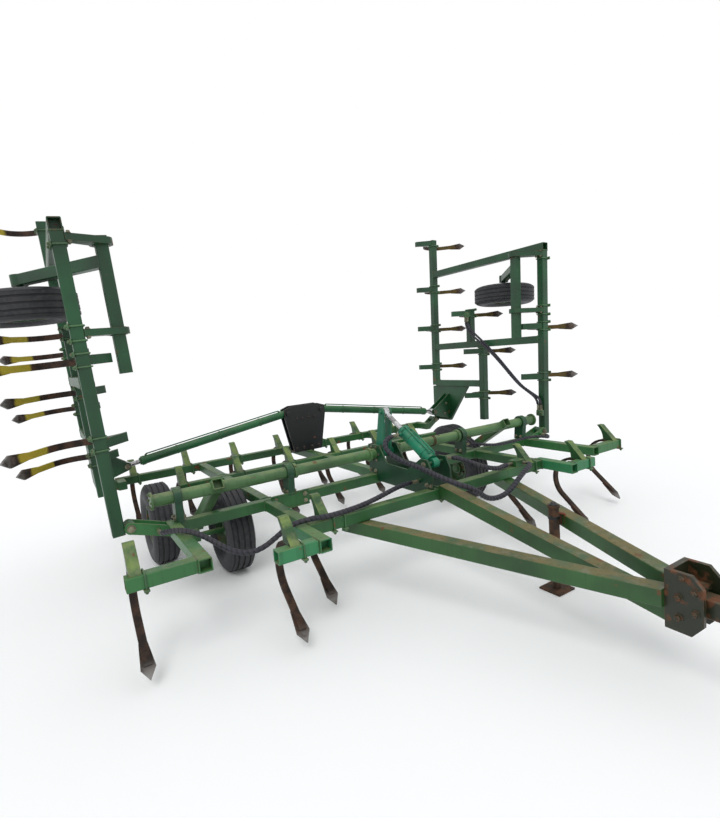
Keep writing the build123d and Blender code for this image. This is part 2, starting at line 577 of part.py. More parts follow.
# Jack on the inner side of the right drawbar beam
BEAM_X_AT_JACK = NOSE_SPREAD + (TONGUE_SPREAD - NOSE_SPREAD) * (JACK_Y - NOSE_Y) / (TONGUE_SEAT_Y - NOSE_Y)
JACK_X = BEAM_X_AT_JACK - BEAM / 2 - 60.0
with BuildPart() as jack_tube:
    with Locations((JACK_X, JACK_Y, JACK_LOW)):
        Cylinder(JACK_TUBE / 2, JACK_TOP - JACK_LOW, align=(Align.CENTER, Align.CENTER, Align.MIN))
        Cylinder(JACK_LEG / 2 + PIN_CLEARANCE, JACK_TOP - JACK_CAP - JACK_LOW,
                 align=(Align.CENTER, Align.CENTER, Align.MIN), mode=Mode.SUBTRACT)
    with Locations((JACK_X, JACK_Y, JACK_TOP)):
        Cylinder(JACK_TUBE / 2 + 8, JACK_CAP, align=(Align.CENTER, Align.CENTER, Align.MAX))
    spread = (TONGUE_SPREAD - NOSE_SPREAD) / (TONGUE_SEAT_Y - NOSE_Y)
    beam_face = BEAM_X_AT_JACK - BEAM / 2 * hypot(1, spread) - SEAT_GAP
    with BuildSketch(Plane.XY.offset(TONGUE_Z - 70)) as bracket:
        Polygon((JACK_X + 32, JACK_Y - 40), (beam_face - 40 * spread, JACK_Y - 40),
                (beam_face + 40 * spread, JACK_Y + 40), (JACK_X + 32, JACK_Y + 40), align=None)
    extrude(amount=80)
keep(jack_tube, "jack_tube")

with BuildPart() as jack_leg:
    with Locations((JACK_X, JACK_Y, 0)):
        Cylinder(JACK_LEG / 2, JACK_TOP - JACK_CAP - JACK_TRAVEL - 5,
                 align=(Align.CENTER, Align.CENTER, Align.MIN))
        Box(FOOT, FOOT, FOOT_PLATE, align=(Align.CENTER, Align.CENTER, Align.MIN))
keep(jack_leg, "jack_leg")

# Tines of the main frame
with BuildPart() as main_holders:
    for x, y in MAIN_TINES:
        holder(x, y, RAIL_Z)
keep(main_holders, "holders_main")
with BuildPart() as main_shanks:
    for x, y in MAIN_TINES:
        shank(x, y, RAIL_Z)
keep(main_shanks, "shanks_main")

# One wing, built level: X is the distance from the hinge axis, Z is the height above it
level = {}
WING_Z = -WING_RAIL_DROP
for name, y, inner, outer in WING_RAILS:
    if name == "stub":
        continue
    with BuildPart() as wing_rail:
        tube((inner, y, WING_Z), (outer, y, WING_Z))
        mouth((outer, y, WING_Z), (-1, 0, 0))
        if name == "front":
            cylinder_along(Plane(origin=(0, y, 0), z_dir=(0, 1, 0)), KNUCKLE_RADIUS, RAIL - 2)
            with Locations((0, y, WING_Z / 2)):
                Box(50, RAIL - 2, -WING_Z)
            cylinder_along(Plane(origin=(0, y, 0), z_dir=(0, 1, 0)), HINGE_PIN / 2 + PIN_CLEARANCE, RAIL + 2, Mode.SUBTRACT)
            ring = JOURNAL / 2 + PIN_CLEARANCE
            for u in WING_SHAFT_BRACKETS:
                face = side_plane(u, WING_SHAFT_Y, WING_SHAFT_RISE)
                foot_y = y - WING_SHAFT_Y
                foot_z = WING_Z + RAIL / 2 - WING_SHAFT_RISE
                slab(face, [(foot_y - RAIL / 2, foot_z), (foot_y + RAIL / 2, foot_z), (60, 0), (-60, 60)], WING_BRACKET_WIDTH)
                cylinder_along(face, ring + BRACKET_WALL, WING_BRACKET_WIDTH)
                cylinder_along(face, ring, WING_BRACKET_WIDTH + 2, Mode.SUBTRACT)
    level[f"rail_{name}"] = wing_rail

with BuildPart() as wing_beams:
    for u, front, rear in WING_BEAMS:
        start = WING_RAIL_Y[front] + RAIL / 2
        if u > 2160.0:
            tube((u, WING_RAIL_Y[front] - RAIL / 2, WING_Z), (u, WING_RAIL_Y[rear] - RAIL / 2, WING_Z))
            mouth((u, WING_RAIL_Y[front] - RAIL / 2, WING_Z), (0, 1, 0))
        else:
            tube((u, start, WING_Z), (u, WING_RAIL_Y[rear] - RAIL / 2, WING_Z))
    stub_y, stub_inner, stub_outer = WING_RAILS[2][1:]
    tube((stub_inner, stub_y, WING_Z), (stub_outer, stub_y, WING_Z))
    mouth((stub_outer, stub_y, WING_Z), (-1, 0, 0))
level["beams"] = wing_beams

# The wing's rear foot: a triangular plate, the rear knuckle and the horn that the folding cylinder pulls
with BuildPart() as foot:
    rear_y = WING_RAIL_Y["rear"]
    with BuildSketch(Plane(origin=(0, 0, WING_Z), x_dir=(1, 0, 0), z_dir=(0, 0, 1))) as base:
        Polygon((515, WING_RAIL_Y["middle"] + 300), (515, rear_y + 60), (0, REAR_HINGE_Y + 40), (0, REAR_HINGE_Y - 330),
                align=None)
    extrude(base.sketch, amount=BASE_PLATE / 2, both=True)
    cylinder_along(Plane(origin=(0, REAR_HINGE_Y, 0), z_dir=(0, 1, 0)), KNUCKLE_RADIUS, RAIL - 2)
    with Locations((0, REAR_HINGE_Y, WING_Z / 2)):
        Box(50, RAIL - 2, -WING_Z)
    cylinder_along(Plane(origin=(0, REAR_HINGE_Y, 0), z_dir=(0, 1, 0)), HINGE_PIN / 2 + PIN_CLEARANCE, RAIL + 2, Mode.SUBTRACT)
    for step in (-1, 1):
        face = Plane(origin=(0, FOLD_Y + step * HORN_Y, 0), x_dir=(1, 0, 0), z_dir=(0, -1, 0))
        slab(face, [(20, WING_Z), (HORN_OUT - 45, HORN_RISE), (HORN_OUT - 25, HORN_RISE + 38), (HORN_OUT + 25, HORN_RISE + 38),
                    (HORN_OUT + 45, HORN_RISE), (420, WING_Z)], PLATE)
        cylinder_along(Plane(origin=(HORN_OUT, FOLD_Y + step * (HORN_Y + PLATE), HORN_RISE), z_dir=(0, 1, 0)), FOLD_PIN / 2, PLATE)
level["foot"] = foot

with BuildPart() as wing_holders:
    for u, rail_name in WING_TINES:
        holder(u, WING_RAIL_Y[rail_name], WING_Z)
level["holders"] = wing_holders
with BuildPart() as wing_shanks:
    for u, rail_name in WING_TINES:
        shank(u, WING_RAIL_Y[rail_name], WING_Z)
level["shanks"] = wing_shanks

# The wing's own rockshaft and trailing arm with its wheel
WING_AXLE_DROP = HINGE_Z - AXLE_Z
WING_AXLE_Y = WING_SHAFT_Y + WING_ARM_RUN
with BuildPart() as wing_shaft:
    tube((WING_SHAFT_ENDS[0], WING_SHAFT_Y, WING_SHAFT_RISE), (WING_SHAFT_ENDS[1], WING_SHAFT_Y, WING_SHAFT_RISE))
    mouth((WING_SHAFT_ENDS[0], WING_SHAFT_Y, WING_SHAFT_RISE), (1, 0, 0))
    for u in WING_SHAFT_BRACKETS:
        cylinder_along(side_plane(u, WING_SHAFT_Y, WING_SHAFT_RISE), JOURNAL / 2, WING_BRACKET_WIDTH + 10)
    tube((WING_ARM_U, WING_SHAFT_Y, WING_SHAFT_RISE), (WING_ARM_U, WING_AXLE_Y, -WING_AXLE_DROP))
    cylinder_along(side_plane(WING_ARM_U, WING_AXLE_Y, -WING_AXLE_DROP), 60, RAIL)
    tip = WING_WHEEL_U - STUB_AXLE
    cylinder_along(side_plane((WING_ARM_U + tip) / 2, WING_AXLE_Y, -WING_AXLE_DROP), PIN / 2, WING_ARM_U - tip)
level["wheel_arm"] = wing_shaft
with BuildPart() as gauge_tyre:
    tyre(side_plane(WING_WHEEL_U, WING_AXLE_Y, -WING_AXLE_DROP))
level["tyre"] = gauge_tyre
with BuildPart() as gauge_rim:
    rim(side_plane(WING_WHEEL_U, WING_AXLE_Y, -WING_AXLE_DROP))
level["rim"] = gauge_rim

# The right wing is turned up about its hinge and the left wing is its mirror image
FOLD_ANGLE = 90.0 - WING_LEAN
folded = Location((HINGE_X, 0, HINGE_Z), (0, -FOLD_ANGLE, 0))
for piece_name, piece in level.items():
    with BuildPart() as right_piece:
        with Locations(folded):
            add(piece.part)
    keep(right_piece, f"wing_right_{piece_name}")
    with BuildPart() as left_piece:
        add(mirror(right_piece.part, about=Plane.YZ, mode=Mode.PRIVATE))
    keep(left_piece, f"wing_left_{piece_name}")

# Folding cylinders, from the mast out to each wing's horn
lean = radians(FOLD_ANGLE)
HORN_X = HINGE_X + HORN_OUT * cos(lean) - HORN_RISE * sin(lean)
HORN_Z = HINGE_Z + HORN_OUT * sin(lean) + HORN_RISE * cos(lean)
FOLD_SPAN = hypot(HORN_X - MAST_PIN_X, HORN_Z - MAST_Z)
FOLD_HEAD = FOLD_SPAN - 150.0
for side, hand in ((-1, "left"), (1, "right")):
    line = Plane(origin=(side * MAST_PIN_X, FOLD_Y, MAST_Z), x_dir=(0, 1, 0),
                 z_dir=(side * (HORN_X - MAST_PIN_X), 0, HORN_Z - MAST_Z))
    with BuildPart(line) as barrel:
        with Locations((0, 0, 40)):
            Cylinder(FOLD_BORE / 2, FOLD_HEAD - 40, align=(Align.CENTER, Align.CENTER, Align.MIN))
        with Locations((0, 0, FOLD_HEAD)):
            Cylinder(FOLD_ROD / 2 + PIN_CLEARANCE, 900, align=(Align.CENTER, Align.CENTER, Align.MAX), mode=Mode.SUBTRACT)
        pivot_eye(line, 42, FOLD_PIN, 80)
    keep(barrel, f"fold_barrel_{hand}")
    with BuildPart(line) as rod:
        with Locations((0, 0, FOLD_HEAD - 600)):
            Cylinder(FOLD_ROD / 2, FOLD_SPAN - FOLD_HEAD + 600 - 30, align=(Align.CENTER, Align.CENTER, Align.MIN))
        rod_eye(line, FOLD_SPAN, 42, FOLD_PIN, 70, 2 * HORN_Y - PLATE)
    keep(rod, f"fold_rod_{hand}")

# Hoses. Each route's first and last points are on the bosses, and the rest are chosen by hand.
PORT = lift_line.from_local_coords((-LIFT_BARREL / 2 - PORT_LENGTH - PORT_GAP, 0, PORT_ALONG))
PLATE_FACE = SIDE_PLATE_X + PLATE / 2 + BOSS_LENGTH
BOSS_FRONT_Y = LUG_FRONT_Y - BOSS_LENGTH
BLOCK_Z = RAIL_TOP + 30.0
BLOCK_FRONT_Y = RAIL_Y["rail_1"] - RAIL / 2
BLOCK_LEFT_X = HOSE_BLOCK_X - HOSE_BLOCK[0] / 2
BEARING_BOSS_X = BEARINGS_X[2] + BEARING_WIDTH / 2 + BOSS_LENGTH
HOSES = {
    "hose_left": (HOSE, [
        (-PLATE_FACE, LEFT_PLATE_BOSS[1], LEFT_PLATE_BOSS[2]), (-300, LEFT_PLATE_BOSS[1], LEFT_PLATE_BOSS[2]),
        (-480, -262, 755), (-690, -322, 738), (-900, -368, 735), (-1100, -382, 737), (-1270, -374, 756), (-1385, -330, 725),
        (-1480, -285, 655), (-1590, -268, 603), (-1705, -262, 602), (-1805, -218, 645), (-1890, -120, 712), (-1965, 0, 755),
        (-2045, 125, 760), (-2110, 240, 735), (LEFT_BOSS[0], BOSS_FRONT_Y - 80, LEFT_BOSS[1]),
        (LEFT_BOSS[0], BOSS_FRONT_Y, LEFT_BOSS[1])]),
    "hose_loop": (HOSE, [
        (HOSE_BLOCK_X + 30, BLOCK_FRONT_Y, BLOCK_Z), (HOSE_BLOCK_X + 30, BLOCK_FRONT_Y - 80, BLOCK_Z), (905, -530, 752),
        (790, -577, 742), (670, -612, 708), (555, -640, 655), (440, -650, 612), (320, -645, 603), (210, -650, 640), (118, -668, 712),
        (25, -682, 768), (-65, -648, 808), (-128, -560, 850), (-155, -440, 882), (-170, -310, 912), (-205, -190, 938),
        (-262, -80, 985), (-292, 28, 1062), (-215, PORT.Y, PORT.Z), (PORT.X, PORT.Y, PORT.Z)]),
    "hose_base": (HOSE, [
        (PLATE_FACE, RIGHT_PLATE_BOSS[1], RIGHT_PLATE_BOSS[2]), (235, RIGHT_PLATE_BOSS[1], RIGHT_PLATE_BOSS[2]), (330, -325, 880),
        (425, -392, 826), (535, -425, 785), (650, -405, 762), (765, RAIL_Y["rail_1"], BLOCK_Z),
        (BLOCK_LEFT_X, RAIL_Y["rail_1"], BLOCK_Z)]),
    "hose_right": (THIN_HOSE, [
        (BEARING_BOSS_X, SHAFT_Y, BEARING_BOSS_Z), (1180, SHAFT_Y, BEARING_BOSS_Z), (1300, 440, 768), (1430, 405, 745), (1580, 395, 735),
        (1730, 382, 740), (1870, 345, 757), (1990, 295, 762), (2098, 250, 745), (2185, 265, 722),
        (RIGHT_BOSS[0], BOSS_FRONT_Y - 82, RIGHT_BOSS[1]), (RIGHT_BOSS[0], BOSS_FRONT_Y, RIGHT_BOSS[1])]),
}
for name, (diameter, route) in HOSES.items():
    points = [Vector(*point) for point in route]
    runs = [after - before for before, after in zip(points, points[1:])]
    radii = []
    for run, next_run in zip(runs, runs[1:]):
        turn = radians(run.get_angle(next_run))
        radii.append(0.45 * min(run.length, next_run.length) / tan(turn / 2))
    print(name, "radii", [round(radius) for radius in radii])
    with BuildPart() as hose:
        with BuildLine() as path:
            FilletPolyline(*points, radius=radii)
        with BuildSketch(Plane(origin=points[0], z_dir=runs[0])):
            Circle(diameter / 2)
        sweep(path=path.line)
    length = sum(edge.length for edge in path.edges())
    print(name, "length", round(length), "volume share", round(hose.part.volume / (length * pi * diameter ** 2 / 4), 4))
    keep(hose, name)
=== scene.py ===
import math
import random
import bpy
from mathutils import Matrix, Vector


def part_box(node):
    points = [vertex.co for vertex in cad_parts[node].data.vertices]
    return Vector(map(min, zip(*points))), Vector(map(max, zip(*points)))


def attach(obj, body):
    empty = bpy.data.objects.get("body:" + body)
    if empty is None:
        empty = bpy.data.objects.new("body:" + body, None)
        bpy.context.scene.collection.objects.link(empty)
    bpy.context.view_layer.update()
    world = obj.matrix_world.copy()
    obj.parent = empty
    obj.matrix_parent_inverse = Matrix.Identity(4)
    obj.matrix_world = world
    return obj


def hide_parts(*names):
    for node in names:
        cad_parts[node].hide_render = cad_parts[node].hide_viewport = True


# The looks of a field cultivator with two folded wings, in metres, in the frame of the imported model.
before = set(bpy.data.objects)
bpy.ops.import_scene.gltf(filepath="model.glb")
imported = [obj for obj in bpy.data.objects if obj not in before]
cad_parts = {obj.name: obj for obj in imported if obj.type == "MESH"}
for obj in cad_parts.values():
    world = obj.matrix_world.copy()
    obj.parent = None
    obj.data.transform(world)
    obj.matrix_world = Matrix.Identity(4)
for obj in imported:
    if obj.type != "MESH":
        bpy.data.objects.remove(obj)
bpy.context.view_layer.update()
rng = random.Random(7)

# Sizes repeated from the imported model's source
RAIL = 0.089
HALF = RAIL / 2
RAIL_Z, RAIL_TOP = 0.6755, 0.720
RAIL_1_Y, RAIL_2_Y, RAIL_3_Y, RAIL_4_Y = RAILS_Y = (-0.340, 0.505, 1.760, 2.710)
RAIL_4_END = 2.200
LONGITUDINAL_X = 1.230
JOG_1_X, JOG_1 = 1.300, 0.310
JOG_2_X, JOG_2 = 2.020, 0.895
HINGE_X, HINGE_Z = 2.325, 0.760
REAR_HINGE_Y = RAIL_4_Y - 0.190
SIDE_PLATE_FACE = 0.108
ANCHOR_Y, ANCHOR_Z = -0.280, 0.920
LIFT_RUN, LIFT_CLIMB = 0.680, 0.400
SHAFT_Y, SHAFT_Z, SHAFT_END = 0.486, 0.920, 2.166
BEARINGS_X = (1.020, 1.970)
AXLE_Z = 0.395
INNER_WHEEL, OUTER_WHEEL = (1.440, 0.996), (1.940, 1.696)
FOLD_Y, MAST_PIN_X, MAST_Z = 2.260, 0.230, 1.220
TINE_PITCH = 0.610
HOLDER_HALF = 0.035
MAIN_TINES = ([(x, RAIL_1_Y) for x in (-1.110, 1.110)] + [(x, RAIL_1_Y - JOG_1) for x in (-1.500, 1.500)]
              + [(x, RAIL_2_Y - JOG_2) for x in (-2.420, 2.420)]
              + [(-1.660 + TINE_PITCH * i, RAIL_3_Y) for i in range(6)]
              + [(-2.000 + TINE_PITCH * i, RAIL_4_Y) for i in range(7)])

# On a level wing, u is the distance from the hinge's axis and w the height above it
WING_LEAN = math.radians(2.9)
WING_RAIL_W = -0.0845
WING_RAIL_END = 2.720
WING_FRONT_Y, WING_MIDDLE_Y, WING_STUB_Y, WING_REAR_Y = 0.505, 1.505, 1.735, 2.505
OUTER_BEAM_U, MIDDLE_BEAM_U, INNER_BEAM_U = 2.205, 1.110, 0.560
WING_WHEEL = (1.760, 1.365)
WING_BRACKETS_U = (1.460, 2.120)
HORN_U, HORN_W = 0.150, 0.225
WING_TINES = ([(u, WING_FRONT_Y) for u in (0.660, 1.270)] + [(u, WING_MIDDLE_Y) for u in (0.400, 1.010)]
              + [(1.550, WING_STUB_Y)] + [(u, WING_REAR_Y) for u in (0.810, 1.400, 1.990, 2.680)])

# Camera, fitted to the straight tubes in the photograph
FOCAL_PIXELS, LONG_SIDE, SENSOR = 507.186, 818, 36.0
AZIMUTH, ELEVATION, ROLL = map(math.radians, (-31.271, 6.668, -5.001))
CAMERA_PLACE = (-2.710, -3.605, 1.932)
camera = bpy.data.objects.new("camera", bpy.data.cameras.new("camera"))
bpy.context.scene.collection.objects.link(camera)
camera.data.sensor_width = SENSOR
camera.data.lens = FOCAL_PIXELS / LONG_SIDE * SENSOR
camera.data.clip_start, camera.data.clip_end = 0.05, 200
level = math.cos(ELEVATION)
back = Vector((math.sin(AZIMUTH) * level, -math.cos(AZIMUTH) * level, math.sin(ELEVATION)))
level_right = Vector((math.cos(AZIMUTH), math.sin(AZIMUTH), 0))
level_up = back.cross(level_right)
right = level_right * math.cos(ROLL) + level_up * math.sin(ROLL)
up = level_up * math.cos(ROLL) - level_right * math.sin(ROLL)
rows = [(*row, place) for row, place in zip(zip(right, up, back), CAMERA_PLACE)]
camera.matrix_world = Matrix(rows + [(0, 0, 0, 1)])
bpy.context.scene.camera = camera
bpy.context.scene.view_settings.view_transform = "Standard"


def rgb(red, green, blue):
    """Linear colour of an 8-bit one."""
    return [(value / 255) ** 2.2 for value in (red, green, blue)] + [1.0]


def brighter(colour, factor):
    """The colour made lighter, or darker where the factor is under 1."""
    return [min(1.0, value * factor) for value in colour[:3]] + [1.0]


class Graph:
    """A material's nodes, put together by short calls."""

    def __init__(self, name):
        self.material = bpy.data.materials.new(name)
        self.material.use_nodes = True
        self.tree = self.material.node_tree
        self.shader = self.tree.nodes["Principled BSDF"]
        coordinates = self.add("ShaderNodeTexCoord")
        self.position = coordinates.outputs["Object"]
        self.normal = coordinates.outputs["Normal"]

    def add(self, kind, **settings):
        node = self.tree.nodes.new(kind)
        for key, value in settings.items():
            setattr(node, key, value)
        return node

    def put(self, socket, value):
        """Links another node's output to the socket, or writes a plain value on it."""
        if isinstance(value, bpy.types.NodeSocket):
            self.tree.links.new(value, socket)
        else:
            socket.default_value = value

    def set(self, name, value):
        self.put(self.shader.inputs[name], value)

    def math(self, operation, first, second=0.0):
        node = self.add("ShaderNodeMath", operation=operation)
        self.put(node.inputs[0], first)
        self.put(node.inputs[1], second)
        return node.outputs[0]

    def vector(self, operation, first, second=(0, 0, 0), output="Vector"):
        node = self.add("ShaderNodeVectorMath", operation=operation)
        self.put(node.inputs[0], first)
        self.put(node.inputs[1], second)
        return node.outputs[output]

    def part(self, vector, axis):
        node = self.add("ShaderNodeSeparateXYZ")
        self.put(node.inputs[0], vector)
        return node.outputs[axis]

    def noise(self, scale, detail=4.0, stretch=None):
        place = self.vector("MULTIPLY", self.position, stretch) if stretch else self.position
        node = self.add("ShaderNodeTexNoise")
        self.put(node.inputs["Vector"], place)
        node.inputs["Scale"].default_value = scale
        node.inputs["Detail"].default_value = detail
        return node.outputs["Fac"]

    def ramp(self, value, low, high, to=1.0):
        """0 at low and under it, and the value of to at high and over it."""
        node = self.add("ShaderNodeMapRange", interpolation_type="SMOOTHSTEP")
        self.put(node.inputs["Value"], value)
        node.inputs["From Min"].default_value = low
        node.inputs["From Max"].default_value = high
        node.inputs["To Max"].default_value = to
        return node.outputs["Result"]

    def mix(self, factor, first, second):
        node = self.add("ShaderNodeMix", data_type="RGBA")
        self.put(node.inputs[0], factor)
        self.put(node.inputs[6], first)
        self.put(node.inputs[7], second)
        return node.outputs[2]

    def edges(self, radius):
        """1 on outer and inner edges of the shape, 0 on flat faces."""
        bevel = self.add("ShaderNodeBevel", samples=6)
        bevel.inputs["Radius"].default_value = radius
        face = self.add("ShaderNodeNewGeometry").outputs["Normal"]
        turn = self.vector("DOT_PRODUCT", bevel.outputs["Normal"], face, "Value")
        return self.ramp(self.math("SUBTRACT", 1.0, turn), 0.015, 0.16)

    def relief(self, height, strength):
        node = self.add("ShaderNodeBump")
        node.inputs["Strength"].default_value = strength
        node.inputs["Distance"].default_value = 0.002
        self.put(node.inputs["Height"], height)
        self.set("Normal", node.outputs["Normal"])


RUST_DARK, RUST_LIGHT = rgb(70, 42, 28), rgb(128, 78, 46)
DUST = rgb(122, 118, 98)


def painted(name, base, worn_highlight_colour, wear=0.7, rust=0.35, facing=(0, 0, 1), zone=None):
    """Old paint: faded, and lightened by a painted highlight, where a face looks along facing, streaked,
    chipped at the edges and rusty in spots.
    zone gives another colour and the range of distances from the middle, along X, that has it."""
    g = Graph(name)
    shade = brighter(base, 0.62)
    colour = g.mix(g.ramp(g.noise(2.3, 5), 0.32, 0.68), shade, brighter(base, 1.22))
    if zone:
        other, low, high = zone
        out = g.math("ABSOLUTE", g.part(g.position, "X"))
        inside = g.math("MULTIPLY", g.math("GREATER_THAN", out, low), g.math("LESS_THAN", out, high))
        patchy = g.mix(g.ramp(g.noise(3.0), 0.3, 0.7), brighter(other, 0.75), other)
        colour = g.mix(inside, colour, patchy)
    looks = g.ramp(g.vector("DOT_PRODUCT", g.normal, facing, "Value"), 0.35, 0.85)
    # Worn paint and a painted highlight: in patches, faces that look along facing turn toward the second
    # colour
    wear_and_highlight = g.math("MULTIPLY", looks, g.ramp(g.noise(6.0, 6, (1.0, 1.0, 2.0)), 0.30, 0.62, wear))
    colour = g.mix(wear_and_highlight, colour, worn_highlight_colour)
    streaks = g.ramp(g.noise(1.0, 5, (38.0, 38.0, 3.2)), 0.50, 0.74, 0.42)
    colour = g.mix(streaks, colour, shade)
    dusty = g.math("MULTIPLY", looks, g.ramp(g.noise(19.0, 7), 0.48, 0.72, 0.45))
    colour = g.mix(dusty, colour, DUST)
    chips = g.math("MULTIPLY", g.edges(0.007), g.ramp(g.noise(46.0, 5), 0.44, 0.60))
    spots = g.ramp(g.noise(8.5, 9), 0.70 - 0.16 * rust, 0.76 - 0.13 * rust)
    bare = g.math("MAXIMUM", g.math("MULTIPLY", chips, 0.75), g.math("MULTIPLY", spots, 0.85))
    colour = g.mix(bare, colour, g.mix(g.noise(60.0, 6), RUST_DARK, RUST_LIGHT))
    g.set("Base Color", colour)
    g.set("Roughness", g.math("ADD", 0.42, g.math("MULTIPLY", g.math("MAXIMUM", bare, wear_and_highlight), 0.36)))
    height = g.math("SUBTRACT", g.math("MULTIPLY", g.noise(210.0, 3), 0.35), g.math("MULTIPLY", bare, 0.5))
    g.relief(height, 0.35)
    return g.material


def steel(name, dark, light, rough=0.62, glint=0.55, grain=90.0):
    """Unpainted steel, from scaly rust to bare metal."""
    g = Graph(name)
    mottled = g.ramp(g.noise(13.0, 8), 0.34, 0.66)
    colour = g.mix(mottled, dark, light)
    colour = g.mix(g.ramp(g.noise(grain, 6), 0.50, 0.72, 0.55), colour, RUST_DARK)
    colour = g.mix(g.math("MULTIPLY", g.edges(0.006), 0.35), colour, light)
    g.set("Base Color", colour)
    g.set("Metallic", glint)
    g.set("Roughness", g.math("ADD", rough, g.math("MULTIPLY", mottled, 0.18)))
    g.relief(g.noise(grain * 1.5, 5), 0.4)
    return g.material


def shank_steel(name, middle, depth_way, banded=0.0):
    """Spring steel, worn bright at the point, with painted bands on the shanks of the wings.
    depth_way points from the rail, whose middle is at middle, to the ground side."""
    g = Graph(name)
    depth = g.vector("DOT_PRODUCT", g.vector("SUBTRACT", g.position, middle), depth_way, "Value")
    colour = g.mix(g.ramp(g.noise(15.0, 7), 0.36, 0.66), rgb(38, 30, 26), rgb(74, 54, 42))
    if banded:
        start = g.math("ADD", depth, g.math("MULTIPLY", g.noise(9.0), 0.05))
        band = g.math("MULTIPLY", g.ramp(start, 0.335, 0.36), g.ramp(start, 0.53, 0.505))
        yellow = g.mix(g.noise(24.0, 5), rgb(196, 160, 60), rgb(166, 168, 50))
        colour = g.mix(g.math("MULTIPLY", band, banded), colour, yellow)
    bright = g.math("MULTIPLY", g.ramp(depth, 0.50, 0.60), g.ramp(g.noise(18.0, 6), 0.22, 0.60))
    colour = g.mix(bright, colour, rgb(128, 126, 124))
    g.set("Base Color", colour)
    g.set("Metallic", 0.45)
    g.set("Roughness", g.math("SUBTRACT", 0.68, g.math("MULTIPLY", bright, 0.28)))
    g.relief(g.noise(120.0, 5), 0.35)
    return g.material


TYRE_RINGS = 520.0    # radians of the tyres' ring pattern in a metre of radius


def rubber(name, colour, dust=0.3, middle=None, axle=None):
    """Black rubber with dust; on a tyre it has moulded rings and dust that follow the axle."""
    g = Graph(name)
    height = g.math("MULTIPLY", g.noise(170.0, 4), 0.4)
    dusty = g.ramp(g.noise(11.0, 7), 0.40, 0.74, dust)
    if middle is not None:
        out = g.vector("SUBTRACT", g.position, middle)
        along = g.vector("DOT_PRODUCT", out, axle, "Value")
        scaled = g.add("ShaderNodeVectorMath", operation="SCALE")
        scaled.inputs[0].default_value = axle
        g.put(scaled.inputs["Scale"], along)
        radius = g.vector("LENGTH", g.vector("SUBTRACT", out, scaled.outputs[0]), output="Value")
        rings = g.math("SINE", g.math("MULTIPLY", radius, TYRE_RINGS))
        side = g.math("MULTIPLY", g.ramp(radius, 0.20, 0.22), g.ramp(radius, 0.352, 0.335))
        height = g.math("ADD", height, g.math("MULTIPLY", g.math("MULTIPLY", rings, side), 0.5))
        tread = g.ramp(radius, 0.345, 0.388)
        caked = g.ramp(g.noise(30.0, 6), 0.35, 0.7, dust * 1.3)
        dusty = g.math("MAXIMUM", dusty, g.math("MULTIPLY", tread, caked))
    g.set("Base Color", g.mix(dusty, colour, rgb(92, 90, 88)))
    g.set("Roughness", g.math("ADD", 0.55, g.math("MULTIPLY", dusty, 0.6)))
    g.relief(height, 0.5)
    return g.material


class Place:
    """A right-angled frame: at gives a point of it in the model's frame, and way gives a direction."""

    def __init__(self, origin, x_way, y_way, z_way):
        self.origin = Vector(origin)
        self.ways = [Vector(way).normalized() for way in (x_way, y_way, z_way)]

    def way(self, x, y, z):
        return self.ways[0] * x + self.ways[1] * y + self.ways[2] * z

    def at(self, x, y, z):
        return self.origin + self.way(x, y, z)


def wing_place(side):
    """The folded wing's own frame, with u, Y and w as its axes."""
    lean_sin, lean_cos = math.sin(WING_LEAN), math.cos(WING_LEAN)
    u_way = (side * lean_sin, 0, lean_cos)
    w_way = (-side * lean_cos, 0, lean_sin)
    return Place((side * HINGE_X, 0, HINGE_Z), u_way, (0, 1, 0), w_way)


MAIN = Place((0, 0, 0), (1, 0, 0), (0, 1, 0), (0, 0, 1))
HANDS = {"left": -1, "right": 1}
WINGS = {hand: wing_place(side) for hand, side in HANDS.items()}
LIFT = Place((0, ANCHOR_Y, ANCHOR_Z), (1, 0, 0), (0, -LIFT_CLIMB, LIFT_RUN), (0, LIFT_RUN, LIFT_CLIMB))

# Finishes
# Each painted finish's second colour is worn paint and a painted highlight on the faces that look up
GREEN, WORN_HIGHLIT_GREEN = rgb(40, 88, 46), rgb(102, 122, 76)
green_paint = painted("green_paint", GREEN, WORN_HIGHLIT_GREEN)
shaft_paint = painted("shaft_paint", rgb(72, 108, 66), rgb(120, 138, 94), zone=(rgb(18, 112, 84), 0.0, 0.09))
jog_1_paint = painted("jog_1_paint", GREEN, WORN_HIGHLIT_GREEN, zone=(rgb(48, 122, 78), 1.25, 1.9))
jog_2_paint = painted("jog_2_paint", GREEN, WORN_HIGHLIT_GREEN, zone=(rgb(50, 108, 58), 1.97, 2.60))
beam_paint = painted("beam_paint", rgb(44, 82, 42), rgb(110, 100, 66), wear=1.0, rust=0.3)
# On the holders, the worn paint and painted highlight go on the faces that look forward and up
holder_paint = painted("holder_paint", rgb(38, 78, 42), rgb(116, 136, 78), wear=1.0, rust=0.2,
                       facing=(0, -0.75, 0.66))
wing_paint = painted("wing_paint", rgb(22, 70, 40), rgb(62, 96, 62), wear=0.6, rust=0.15)
dark_paint = painted("dark_paint", rgb(22, 26, 28), rgb(48, 52, 46), wear=0.5, rust=0.2)
plate_paint = painted("plate_paint", rgb(20, 66, 42), rgb(66, 104, 66), wear=0.7, rust=0.2)
teal_paint = painted("teal_paint", rgb(14, 118, 88), rgb(64, 148, 112), wear=0.6, rust=0.1)
link_paint = painted("link_paint", rgb(30, 88, 50), rgb(76, 116, 74), rust=0.15)
rim_paint = painted("rim_paint", rgb(56, 90, 58), rgb(110, 120, 92), rust=0.7)
rusty_steel = steel("rusty_steel", rgb(44, 34, 26), rgb(92, 66, 48), rough=0.66, glint=0.2)
head_steel = painted("head_steel", rgb(40, 46, 28), rgb(74, 62, 42), wear=0.9, rust=0.9)
clamp_paint = painted("clamp_paint", rgb(64, 102, 66), rgb(110, 130, 92), rust=0.5)
